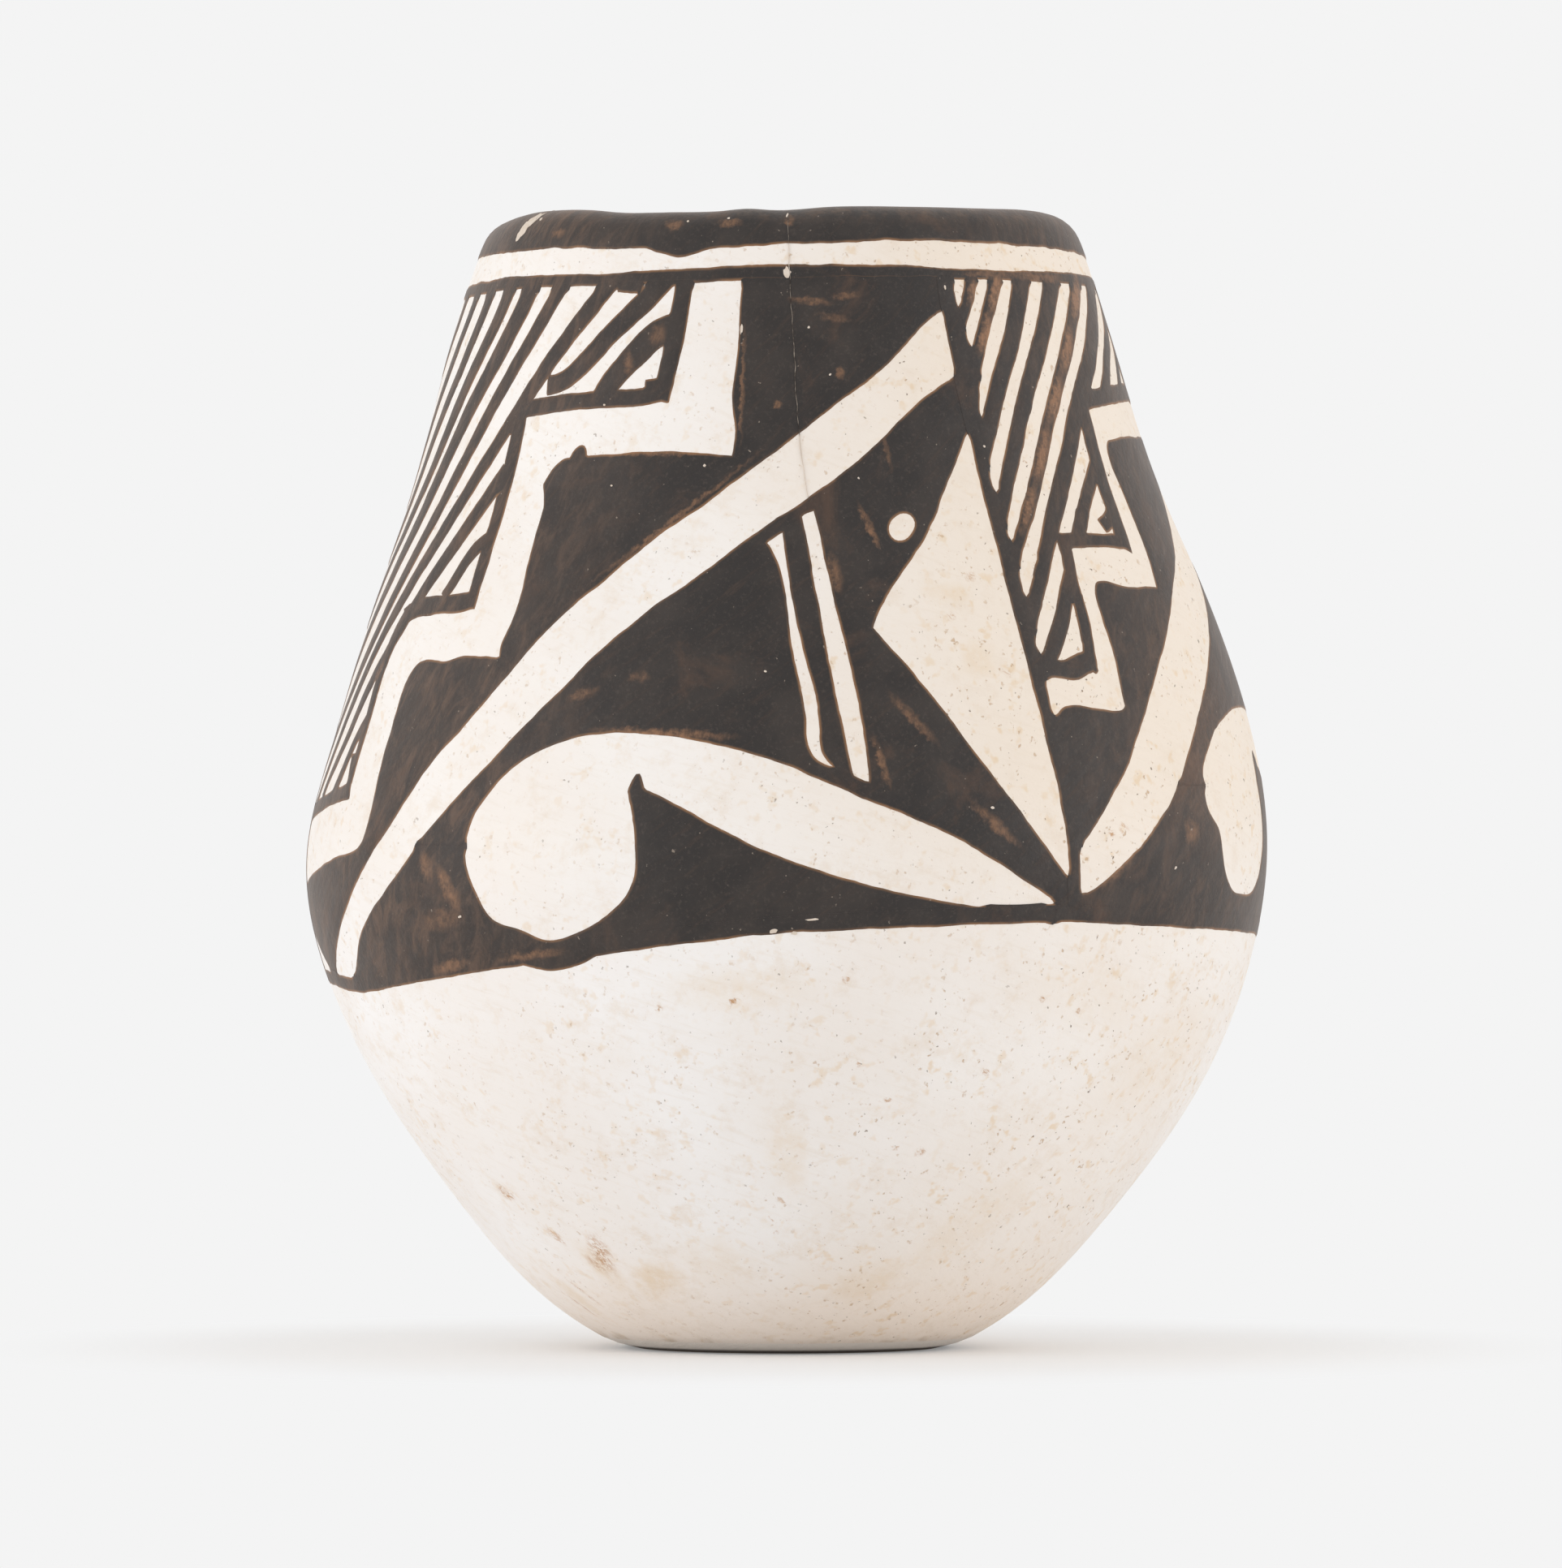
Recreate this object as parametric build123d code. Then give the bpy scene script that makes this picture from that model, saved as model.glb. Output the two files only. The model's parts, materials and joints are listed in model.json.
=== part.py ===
from build123d import *
import math
import os

# Pueblo pottery jar: a coiled clay body, a white slip coat and a black painted design.
# Millimetres, +Z up, origin at the centre of the flat foot. Azimuth 0 faces -Y and grows towards +X.

# Body
FOOT_RADIUS = 10.0
BELLY_RADIUS = 29.5
BELLY_HEIGHT = 30.3
RIM_RADIUS = 18.4
RIM_RISE = 37.5
WALL = 4.0
FLOOR_THICKNESS = 5.0
SEAM_SLANT = 25.0

# Layers on the clay
SLIP_THICKNESS = 0.3
SLIP_START = 1.6
SLIP_INSIDE = 9.0
PAINT_THICKNESS = 0.12
PAINT_CLEARANCE = 0.01

# Painted lines and bands
RIM_BAND_OUTSIDE = 2.1
RIM_BAND_INSIDE = 3.5
BAND_HEIGHT = 22.0
BAND_TOP_DROP = 3.2
UPPER_LINE_DROP = 4.45
UPPER_LINE_WIDTH = 0.75
UPPER_LINE_TILT = 0.3
UPPER_LINE_HIGH_SIDE = 50.0
LOWER_LINE_WIDTH = 0.85
EYE_RADIUS = 0.78

# Curve of the wall: shares of the way out and up from foot to belly, then of the way in and up to the rim.
LOWER_CURVE = [(0.25, 0.10), (0.54, 0.30), (0.785, 0.53), (0.94, 0.76)]
UPPER_CURVE = [(0.108, 0.179), (0.414, 0.459), (0.608, 0.613), (0.842, 0.861)]

# Clay pieces from the foot up, each an equal length of the wall.
CLAY_PIECES = [
    "base_pat",
    "foot_coil",
    "lower_coil",
    "belly_coil",
    "shoulder_coil",
    "upper_shoulder_coil",
    "neck_coil",
    "rim_coil",
]

# The design is drawn on a grid of degrees round the jar and rows up it.
# These two rows lie at the foot and the top of the painted band.
LOW_ROW = 22
HIGH_ROW = 66
UPRIGHT_ROWS = 5
TOP_STEPS = 8

# Half the angle of wall that one repeat of the design is cut from, and half the angle that its chart shows.
PANEL_HALF_ANGLE = 84.0
CHART_HALF_ANGLE = 82.0

# Lower edge of the lower framing line, once round the jar, in runs that meet at corners.
LOWER_LINE = [
    [(-92, 22.3), (-76, 22.25), (-66, 22.0), (-60, 22.25), (-50, 22.8), (-40, 23.4), (-33.5, 23.85)],
    [(-33.5, 23.85), (-31.5, 23.6), (-28, 23.6), (-25, 24.0), (-23.5, 24.4)],
    [(-23.5, 24.4), (-10, 25.3), (0, 25.8), (10, 26.05), (25, 26.3), (36, 26.4)],
    [(36, 26.4), (50, 26.1), (65, 25.8), (84, 25.4), (110, 24.6), (130, 24.3), (150, 24.0)],
    [(150, 24.0), (165, 23.85), (180, 23.7), (200, 23.4), (220, 23.1), (240, 22.8), (255, 22.6), (268, 22.3)],
]

# Upright line between two repeats, from its foot up, one list for each side.
DIVIDER_LEFT = [
    (35.6, 21), (34.8, 28.9), (33.4, 34), (32.4, 37), (31.7, 40), (30.8, 48), (30.2, 55.4), (29.1, 59.3),
    (28.6, 66),
]
DIVIDER_RIGHT = [
    (37.2, 21), (36.4, 28.2), (36.1, 30.6), (34.6, 35.5), (33.8, 39.5), (33.5, 45.7), (32.9, 51),
    (32.6, 57), (33.5, 59.2), (33.2, 60.4), (32.2, 62), (31.9, 66),
]

# Front repeat: both sides of the white rainbow band.
FRONT_RAINBOW_TOP = [
    (33, 64.6), (28.5, 63.35), (24, 62.2), (20, 60.8), (10, 57.85), (0, 55), (-15, 50.6), (-20.3, 49.05),
    (-25.3, 47.2), (-30, 45.5), (-35.3, 43.2), (-40, 40.7), (-45, 38), (-50, 35.4), (-53, 33.3), (-60, 29.7),
    (-65, 27.5), (-70, 25.5), (-76.3, 22.6),
]
FRONT_RAINBOW_FOOT = [(-49.2, 31), (-55, 28.4), (-60, 26.7), (-64, 25.0), (-66, 23.8), (-69, 22.6)]
FRONT_RAINBOW_BELLY = [
    (-49.2, 31), (-45, 33.1), (-40, 35.6), (-35, 38.1), (-30, 40.5), (-25, 42.9), (-20, 44.8), (-12.5, 47.2),
    (-5, 49.6), (5, 52.3), (15, 55.3), (20, 57), (25, 58.4), (31, 59.4),
]

# Front repeat: the black stair field's side of the white stair band, tread by tread.
FRONT_STAIR = [
    [(-97, 27.9), (-84, 28.8), (-75, 29.6), (-65, 30.5), (-62, 30.8), (-60.8, 31.3)],
    [(-60.8, 31.3), (-59.9, 32.8), (-60, 36), (-59.7, 39), (-59, 41.2), (-57.6, 41.9)],
    [(-57.6, 41.9), (-54.5, 42.2), (-51.5, 42.1), (-48.5, 42.35), (-44.5, 42.4), (-41.1, 42.3)],
    [(-41.1, 42.3), (-41.1, 43), (-40.4, 44), (-39.5, 48), (-39.1, 50), (-38.8, 51.3), (-39.7, 52.7)],
    [(-39.7, 52.7), (-39, 53.3), (-37.4, 54.05), (-35.2, 54.35)],
    [(-35.2, 54.35), (-34.5, 54.9), (-33.6, 55.1), (-32.2, 54.4)],
    [(-32.2, 54.4), (-25, 54.6), (-20, 54.65), (-13, 54.5), (-8.1, 54.35)],
    [(-8.1, 54.35), (-7.8, 56.3), (-8.1, 57.5), (-7.7, 60), (-7.5, 62), (-6.9, 66)],
    [(-6.9, 66), (12, 66), (33, 66)],
]

# Front repeat: teardrop, over its back and along its belly.
FRONT_DROP_BACK = [
    (33.3, 27.5), (30, 28.45), (25, 30), (15, 32.5), (7, 34.1), (0, 35.6), (-10, 37.05), (-18, 37.65),
    (-26, 37.5), (-33.5, 36.3), (-38.5, 34), (-40.4, 32.3), (-40.9, 31),
]
FRONT_DROP_TAIL = [(33.3, 27.5), (25, 27.3), (15, 28), (5, 29.3), (-5, 31.2), (-14, 33.6), (-17.3, 34.3)]
FRONT_DROP_SPIKE = [(-17.3, 34.3), (-18, 35), (-18.5, 35.3), (-19, 35), (-19.4, 34.1)]
FRONT_DROP_BOWL = [
    (-19.4, 34.1), (-18.6, 32.8), (-18, 30.8), (-18.8, 28.3), (-22, 26.7), (-25, 25.9), (-30, 25.35),
    (-33.5, 26), (-36.5, 26.4), (-39, 27.9), (-40.4, 29.5), (-40.9, 31),
]

# White leaf against the divider, the eye over it, and the two long slits, as drawn on the front repeat.
LEAF_TOP = [(30.4, 56.4), (28.8, 55.1), (25, 52.7), (20, 49.5), (15.5, 47.3), (12, 45.2), (10.7, 44)]
LEAF_BOTTOM = [(10.7, 44), (15.2, 41.4), (25, 34.9), (30, 31.8), (33, 30), (35.4, 28.5)]
EYE = (16.5, 50.05)
SLITS = [
    ([(-3.2, 49.1), (-1.7, 47.8), (-0.2, 43.5), (1.5, 38.6), (2.9, 36.1), (4.8, 35.7)],
     [(-0.8, 49.75), (-0.4, 47.8), (1.6, 42), (3.2, 38), (3.3, 36.9), (4.8, 35.7)]),
    ([(2.1, 50.7), (3.1, 47.3), (5, 41), (7.3, 35.2)],
     [(3.8, 51), (5, 47.6), (6.6, 43.2), (8, 39.6), (9.1, 34.8)]),
]

# Front repeat: the line along the hatched side of the white stair band, run by run, then the hatching.
# Each stroke has its width on the wall at the start and at the end, in rows, and its middle line.
FRONT_STAIR_LINE = [
    (1.2, 1.2, [(-17.7, 66), (-18.2, 62.5), (-18.9, 60.5), (-20.2, 57.6)]),
    (1.1, 1.0, [(-18.9, 58.2), (-24, 57.95), (-31, 57.85), (-38, 57.7), (-48.8, 57.3)]),
    (1.2, 0.95, [(-47.7, 57.8), (-47.4, 55.5), (-47.7, 51.5), (-48.4, 47.4), (-48.7, 45.3)]),
    (1.1, 1.2, [(-47.9, 45.8), (-52, 45.6), (-57, 45.5), (-62, 45.3), (-65, 44.8)]),
    (1.1, 0.85, [(-63.6, 45.2), (-67, 42.8), (-67.7, 41), (-67.7, 38.5), (-68, 36), (-68.1, 33.8)]),
    (1.0, 1.05, [(-67.1, 34.3), (-70, 34.1), (-75, 33.75), (-80, 33.4), (-86, 33.0), (-97, 32.4)]),
]
FRONT_HATCHING = [
    (1.0, 0.9, [(-80.5, 66), (-83, 62.6), (-88, 60)]),
    (1.0, 0.9, [(-72.2, 66), (-75.5, 61.9), (-79.8, 58.7), (-85, 55.2), (-90, 52)]),
    (1.1, 0.9, [(-64.4, 66), (-67.5, 62.7), (-71.1, 59.7), (-75.4, 56.8), (-80, 53.3), (-88, 48.6)]),
    (1.3, 0.85, [(-57, 66), (-60.3, 62.9), (-66.1, 58.9), (-71.6, 54.5), (-77.7, 50.6), (-88, 44.5)]),
    (1.6, 0.85, [(-50, 66), (-54.4, 62.4), (-61.9, 57.8), (-68.9, 52.6), (-75.4, 48.1), (-83, 43.2),
                 (-92, 38)]),
    (1.15, 0.9, [(-41, 66), (-47.8, 62), (-55.6, 57.4), (-63.5, 51.9), (-70.3, 47.2), (-78.6, 41.4),
                 (-88, 35.4)]),
    (1.25, 0.8, [(-29.5, 66), (-37.4, 62.6), (-46.2, 58.4), (-54.4, 53.8), (-62.4, 49), (-68.9, 45.2),
                 (-75, 41), (-79.8, 37), (-84.5, 33.4)]),
    (1.45, 1.25, [(-20.5, 65.4), (-24.7, 63.8), (-29.2, 62.3), (-33.1, 60.8), (-37, 59.5), (-42.4, 58.8)]),
    (1.0, 1.0, [(-30.5, 64.85), (-28, 64.8), (-25.5, 64.75)]),
    (1.5, 1.4, [(-19.9, 58.4), (-21.5, 58.35), (-23, 58.3)]),
    (1.85, 1.4, [(-18.3, 62.1), (-22, 61.7), (-24.7, 60.8), (-26.8, 60), (-28.5, 59.3), (-30.8, 57.9)]),
    (1.1, 0.8, [(-48, 53.7), (-51, 52.1), (-56.1, 49.2), (-61.3, 46.4), (-66.5, 43.3), (-71, 40.4),
                (-74.4, 37.4), (-77.3, 35.5), (-79.6, 33.8)]),
    (0.9, 0.75, [(-48.3, 49.5), (-50.6, 48.9), (-52.8, 47.7), (-55.4, 46)]),
    (0.85, 0.9, [(-67.5, 38.8), (-70.4, 37), (-72.4, 35), (-73.6, 34)]),
    (0.6, 0.7, [(-69.5, 36.6), (-68.6, 35.5), (-67.6, 34.6)]),
]

# Right repeat: the same parts, drawn narrower at the left, where its divider cuts them off.
RIGHT_RAINBOW_TOP = [
    (150, 64.3), (143, 63.3), (130, 61.2), (115, 58.8), (100, 56), (84, 52.6), (75.6, 49.9), (70.7, 48.2),
    (65.7, 46.6), (60.6, 44.3), (55.7, 42), (50.8, 39.4), (48.8, 38.3), (45.8, 36.4), (42.7, 34.6),
    (40.6, 33.4), (38, 31.9), (34.5, 30.1),
]
RIGHT_RAINBOW_FOOT = [(54, 34.6), (50.9, 33.2), (45.6, 31), (40.2, 29), (38, 28.3), (35.5, 27.9)]
RIGHT_RAINBOW_BELLY = [
    (54, 34.6), (60.8, 38.2), (65.7, 40.4), (70.6, 42.4), (80.2, 45.9), (95, 50), (110, 53.6), (125, 56.6),
    (138, 58.5), (148, 59.4),
]
RIGHT_STAIR = [
    [(33, 38.9), (34.2, 38.7), (35, 39), (35.7, 39.25), (40, 39.3), (46.4, 39.35)],
    [(46.4, 39.35), (46.4, 40.7), (46.6, 42.8), (46.1, 44.7), (46, 45.7), (46.5, 46.5)],
    [(46.5, 46.5), (47.8, 46.95), (49.5, 46.9), (52.5, 46.7), (56, 46.65), (60.8, 46.6)],
    [(60.8, 46.6), (61.5, 49.5), (61.4, 51), (60.9, 53), (60.5, 54.5), (61, 55.2), (62, 55.6)],
    [(62, 55.6), (66, 55.85), (75, 56), (85, 56.1), (95, 56.2)],
    [(95, 56.2), (95.3, 58), (95.4, 61), (95.8, 66)],
    [(95.8, 66), (120, 66), (150, 66)],
]
RIGHT_DROP_BACK = [
    (150, 26.6), (145, 28.3), (137, 31), (127, 33.5), (117, 35.6), (107, 37.2), (97, 38.4), (85, 39.3),
    (76, 39.3), (70, 38.7), (66, 37.9), (63.5, 37), (61.5, 36.1), (60.5, 35.4), (60.2, 34.6),
]
RIGHT_DROP_TAIL = [(150, 26.6), (140, 26.9), (129, 27.8), (117, 30), (105, 32.4), (95, 34.3), (84, 35.8)]
RIGHT_DROP_SPIKE = [(84, 35.8), (82.5, 36.6), (81.7, 36.8), (81, 36.2), (80.6, 34.9)]
RIGHT_DROP_BOWL = [
    (80.6, 34.9), (81.6, 33), (81.2, 31.2), (79, 29.4), (74.5, 28.05), (70, 27.95), (66.5, 28.3),
    (64.5, 29.1), (63.4, 30.3), (62.5, 32), (61.1, 32.7), (60.2, 34.6),
]
RIGHT_STAIR_LINE = [
    (1.2, 1.2, [(85.2, 66), (84.8, 62), (84.3, 58.2)]),
    (1.15, 1.15, [(85, 58.7), (75, 58.7), (68, 58.45), (62, 58.25), (55.3, 57.9)]),
    (1.45, 1.3, [(56.1, 58.4), (56.5, 56), (56.2, 54), (56.2, 52), (55.8, 48.9)]),
    (0.9, 0.9, [(57.1, 49.35), (50, 49.4), (41.5, 49.35)]),
    (0.9, 0.92, [(42.8, 49.8), (42.7, 48.2), (42.4, 46.5), (42.6, 44.7), (42.3, 43.2), (41.6, 41.5)]),
    (1.2, 1.2, [(42.5, 42.1), (40, 41.8), (37.8, 41.5), (35, 41.6), (32.5, 41.5)]),
]
RIGHT_HATCHING = [
    (0.62, 0.62, [(36.8, 66), (34.4, 64.3), (32.8, 63.3), (30.8, 62.2)]),
    (0.76, 0.8, [(42.5, 66), (39.7, 64.3), (36.3, 62.3), (33.5, 60.2), (31, 58.4)]),
    (1.25, 0.95, [(49.5, 66), (44.8, 63.4), (41.6, 61.4), (38.1, 59.4), (35.4, 57.4), (32.8, 55.4),
                  (30.8, 53.8)]),
    (1.38, 0.73, [(59.5, 66), (51, 62.5), (46.7, 60.4), (42.9, 58.4), (40, 56.4), (37.4, 54.5), (34.8, 52.5),
                  (31.8, 50.2)]),
    (1.24, 0.6, [(69.4, 66), (59.8, 62.6), (54.5, 60.5), (50.2, 58.5), (46.3, 56.5), (43.2, 54.5),
                 (40.1, 52.5), (36.8, 50.5), (31.8, 47.2)]),
    (1.75, 0.7, [(80, 66), (72.5, 63.7), (66.5, 61.7), (60.5, 59.6), (55, 57.6), (51.1, 55.6), (47.1, 53.5),
                (43.5, 51.5), (40.4, 49.6), (37.5, 47.6), (32, 43.4)]),
    (1.0, 1.1, [(85, 64.4), (78.5, 62.3), (72.2, 60.7), (69.4, 59.7), (65.5, 58.4)]),
    (0.9, 0.9, [(84.5, 61.6), (80, 60.3), (75, 58.6)]),
    (0.9, 0.9, [(55.3, 51), (53.6, 50.6), (52, 50.3)]),
    (0.9, 0.85, [(55.8, 54.2), (52.4, 52.8), (49.7, 51.6), (47.8, 50.6), (45.8, 49.5)]),
    (0.85, 0.9, [(42.2, 47.2), (40.2, 45.7), (37.5, 43.7), (35.9, 42.7), (34, 41.6)]),
]

# Degrees round the jar that each of the three repeats takes, and where the drawn divider stands.
FRONT_SPAN = 124.0
RIGHT_SPAN = 117.0
LEFT_SPAN = 360.0 - FRONT_SPAN - RIGHT_SPAN
DRAWN_DIVIDER = 33.0
FRONT_MIDDLE = DRAWN_DIVIDER - FRONT_SPAN / 2
RIGHT_MIDDLE = DRAWN_DIVIDER + RIGHT_SPAN / 2
LEFT_MIDDLE = DRAWN_DIVIDER + RIGHT_SPAN + LEFT_SPAN / 2

# Degrees that a ground field is drawn past its divider, which then cuts it off.
GROUND_OVERRUN = 5.0

# Direction of azimuth 0 from +X, and a length that reaches out past the whole jar.
FRONT_DIRECTION = -90.0
OUT_OF_JAR = 2 * BELLY_RADIUS

# Steps of a search along a curve, points along a stroke or a shared edge for each one drawn, and the gap at
# which edges meet.
SEARCH_STEPS = 40
STROKE_DENSITY = 2
SHARED_DENSITY = 3
MEETING_GAP = 0.012


# Wall of the jar

def wall_stations():
    """Outer profile from the foot to the start of the lip, as radius and height."""
    below = [
        (FOOT_RADIUS + out * (BELLY_RADIUS - FOOT_RADIUS), up * BELLY_HEIGHT)
        for out, up in LOWER_CURVE
    ]
    above = [
        (BELLY_RADIUS + inward * (RIM_RADIUS - BELLY_RADIUS), BELLY_HEIGHT + up * RIM_RISE)
        for inward, up in UPPER_CURVE
    ]
    rim = (RIM_RADIUS, BELLY_HEIGHT + RIM_RISE)
    return [(FOOT_RADIUS, 0.0)] + below + [(BELLY_RADIUS, BELLY_HEIGHT)] + above + [rim]


STATIONS = wall_stations()
OUTER = Spline(STATIONS)


def into_wall(point, depth):
    """A point of the outer profile, moved square to it into the wall."""
    along = OUTER.tangent_at(Vector(*point))
    return (point[0] - along.Y * depth, point[1] + along.X * depth)


def outer_curve(depth):
    """The wall's outer profile, moved into the wall by depth."""
    foot = (STATIONS[0][0] - depth, STATIONS[0][1])
    return Spline([foot] + [into_wall(point, depth) for point in STATIONS[1:]])


def inner_curve(cover):
    """The wall's inner profile from the middle of the floor up, with a layer of this thickness taken off."""
    floor = (0.0, FLOOR_THICKNESS - cover)
    side = [into_wall(point, WALL - cover) for point in STATIONS[2:]]
    return Spline([floor] + side, tangents=[(1, 0), OUTER % 1])


def lip_curve(depth):
    """Half circle over the lip, from the outside to the inside."""
    middle = into_wall(STATIONS[-1], WALL / 2)
    along = OUTER % 1
    radius = WALL / 2 - depth
    crest = (middle[0] + along.X * radius, middle[1] + along.Y * radius)
    return ThreePointArc(into_wall(STATIONS[-1], depth), crest, into_wall(STATIONS[-1], WALL - depth))


LIP_CREST = into_wall(STATIONS[-1], WALL / 2)[1] + WALL / 2
BAND_TOP = LIP_CREST - BAND_TOP_DROP


def height_share(curve, height):
    """How far along a rising curve it reaches a height, as a share of the curve."""
    low, high = 0.0, 1.0
    for _ in range(SEARCH_STEPS):
        middle = (low + high) / 2
        if (curve @ middle).Y < height:
            low = middle
        else:
            high = middle
    return low


def radius_at(height):
    """Outer radius of the slip at a height."""
    return (OUTER @ height_share(OUTER, height)).X


def layer_between(outer_edges, inner_edges):
    """Section of a layer that lies between two open runs of edges."""
    first = Line(outer_edges[0] @ 0, inner_edges[0] @ 0)
    last = Line(outer_edges[-1] @ 1, inner_edges[-1] @ 1)
    return make_face(outer_edges + inner_edges + [first, last])


def over_lip(depth, outside, inside):
    """Edges from a height on the outside, over the lip, to a height on the inside."""
    wall = outer_curve(depth)
    lining = inner_curve(depth)
    lining_top = lining.trim(height_share(lining, inside), 1)
    wall_top = wall.trim(height_share(wall, outside), 1)
    return [wall_top, lip_curve(depth), lining_top.reversed(reconstruct=True)]


def turned(section, angle=360.0):
    """A section of radius and height, turned about the jar's axis."""
    return revolve((Plane.XZ * section).faces(), axis=Axis.Z, revolution_arc=angle)


# Clay and slip

def body_section():
    """Half section of clay and slip together."""
    foot = Line((0, 0), STATIONS[0])
    axis = Line((0, 0), (0, FLOOR_THICKNESS))
    return make_face([foot, OUTER, lip_curve(0), inner_curve(0), axis])


def slip_section():
    """Half section of the slip, from just above the foot to a little way down the inside."""
    start = (OUTER.position_at(SLIP_START, position_mode=PositionMode.LENGTH)).Y
    end = LIP_CREST - SLIP_INSIDE
    return layer_between(over_lip(0, start, end), over_lip(SLIP_THICKNESS, start, end))


def below_seam(share):
    """Everything below the slanting seam that starts this share of the way up the wall."""
    distance = share * OUTER.length
    start = OUTER.position_at(distance, position_mode=PositionMode.LENGTH)
    along = OUTER.tangent_at(distance, position_mode=PositionMode.LENGTH)
    inward = Vector(-along.Y, along.X).rotate(Axis.Z, SEAM_SLANT)
    down = Vector(-inward.Y, inward.X) * OUT_OF_JAR
    outer_end = start - inward * OUT_OF_JAR
    inner_end = start + inward * OUT_OF_JAR
    return make_face(Polyline(outer_end, inner_end, inner_end + down, outer_end + down, close=True))


def clay_pieces():
    """The pat and the coils, cut from the clay's section along their seams."""
    pieces = {}
    rest = body_section() - slip_section()
    for number, name in enumerate(CLAY_PIECES[:-1], start=1):
        below = below_seam(number / len(CLAY_PIECES))
        pieces[name] = turned(rest & below)
        rest = rest - below
    pieces[CLAY_PIECES[-1]] = turned(rest)
    return pieces


# Chart of the painted design

def row_height(row):
    """Height of a row of the design."""
    return BAND_HEIGHT + (row - LOW_ROW) * (BAND_TOP - BAND_HEIGHT) / (HIGH_ROW - LOW_ROW)


ROW = row_height(LOW_ROW + 1) - row_height(LOW_ROW)


def on_chart(point, middle):
    """A grid point as seen square on to the middle of its repeat: across and up."""
    degrees, row = point
    height = row_height(row)
    return (radius_at(height) * math.sin(math.radians(degrees - middle)), height)


def stretched(points, turn, scale):
    """Grid points moved round the jar, keeping the drawn divider's distance in scale."""
    return [(DRAWN_DIVIDER + turn + (degrees - DRAWN_DIVIDER) * scale, row) for degrees, row in points]


def brush_edge(points, middle):
    """One smooth painted edge through grid points."""
    return Spline([on_chart(point, middle) for point in points])


def area(runs, middle):
    """Painted area with smooth edges that meet end to end, closed by straight lines where they don't."""
    edges = [brush_edge(run, middle) for run in runs]
    joins = []
    for edge, after in zip(edges, edges[1:] + edges[:1]):
        if (edge @ 1 - after @ 0).length > MEETING_GAP:
            joins.append(Line(edge @ 1, after @ 0))
    return make_face(edges + joins)


def across_wall(place, along):
    """A step of 1 on the wall, square to a direction, as the chart shows it from its middle."""
    narrowed = math.sqrt(1 - (place.X / radius_at(place.Y)) ** 2)
    on_wall = Vector(along.X / narrowed, along.Y).normalized()
    return Vector(-on_wall.Y * narrowed, on_wall.X)


def stroke(start_width, end_width, points, middle):
    """One brush stroke along a middle line, with its width on the wall in rows at each end."""
    spine = brush_edge(points, middle)
    steps = STROKE_DENSITY * len(points)
    left, right = [], []
    for step in range(steps + 1):
        share = step / steps
        place = spine @ share
        half = ROW * (start_width + (end_width - start_width) * share) / 2
        across = across_wall(place, spine % share) * half
        left.append(place + across)
        right.append(place - across)
    return make_face([Spline(left), Spline(right), Line(left[0], right[0]), Line(left[-1], right[-1])])


def upright(degrees):
    """Grid points straight up the wall at one azimuth."""
    return [(degrees, row) for row in range(LOW_ROW - 1, HIGH_ROW + 1, UPRIGHT_ROWS)]


def lower_line_runs(middle):
    """Runs of the lower framing line's lower edge across one chart."""
    runs = []
    for turn in (-360, 0, 360):
        for run in LOWER_LINE:
            moved = [(degrees + turn, row) for degrees, row in run]
            runs.append([point for point in moved if abs(point[0] - middle) < CHART_HALF_ANGLE])
    return [run for run in runs if len(run) > 1]


def raised(points, distance):
    """Grid points moved up by a distance in millimetres."""
    return [(degrees, row + distance / ROW) for degrees, row in points]


def upper_line_row(degrees):
    """Row of the upper framing line's lower edge, which is slightly tilted."""
    lift = UPPER_LINE_TILT * math.cos(math.radians(degrees - UPPER_LINE_HIGH_SIDE))
    height = LIP_CREST - UPPER_LINE_DROP + lift
    return LOW_ROW + (height - BAND_HEIGHT) / ROW


def frame_of(middle):
    """The part of the chart that lies between the two framing lines."""
    bottom = [raised(run, LOWER_LINE_WIDTH) for run in lower_line_runs(middle)]
    first, last = bottom[0][0][0], bottom[-1][-1][0]
    left, right = (upright(side)[2:-1] for side in (first, last))
    top = [(last + (first - last) * step / TOP_STEPS) for step in range(TOP_STEPS + 1)]
    return area(bottom + [right, [(degrees, upper_line_row(degrees)) for degrees in top], left[::-1]], middle)


def close_points(points):
    """Grid points close together on the smooth line through some, so that it is the same on every chart."""
    line = Spline(points)
    steps = SHARED_DENSITY * (len(points) - 1)
    places = [line @ (step / steps) for step in range(steps + 1)]
    return [(place.X, place.Y) for place in places]


def divider_area(turn, middle):
    """The upright line between two repeats, as seen from the middle of a repeat."""
    left = close_points(stretched(DIVIDER_LEFT, turn, 1))
    right = close_points(stretched(DIVIDER_RIGHT, turn, 1))
    return area([left, right[::-1]], middle)


def film(shape, middle):
    """Paint on the slip, in the shape that is drawn on the chart."""
    drawn = extrude(CHART_PLANE * shape, amount=-OUT_OF_JAR)
    return (PANEL & drawn).rotate(Axis.Z, middle)


# Parts of one repeat

def white_leaf(turn):
    """Both edges of the leaf that stands against a divider."""
    return stretched(LEAF_TOP, turn, 1), stretched(LEAF_BOTTOM, turn, 1)


def bird_holes(turn, middle):
    """The eye and the two slits, which are left white."""
    place = on_chart(stretched([EYE], turn, 1)[0], middle)
    narrowed = across_wall(Vector(*place), Vector(0, 1)).length
    holes = [Pos(*place) * Ellipse(EYE_RADIUS * narrowed, EYE_RADIUS)]
    for left, right in SLITS:
        holes.append(area([stretched(left, turn, 1), stretched(right, turn, 1)[::-1]], middle))
    return holes


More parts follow.
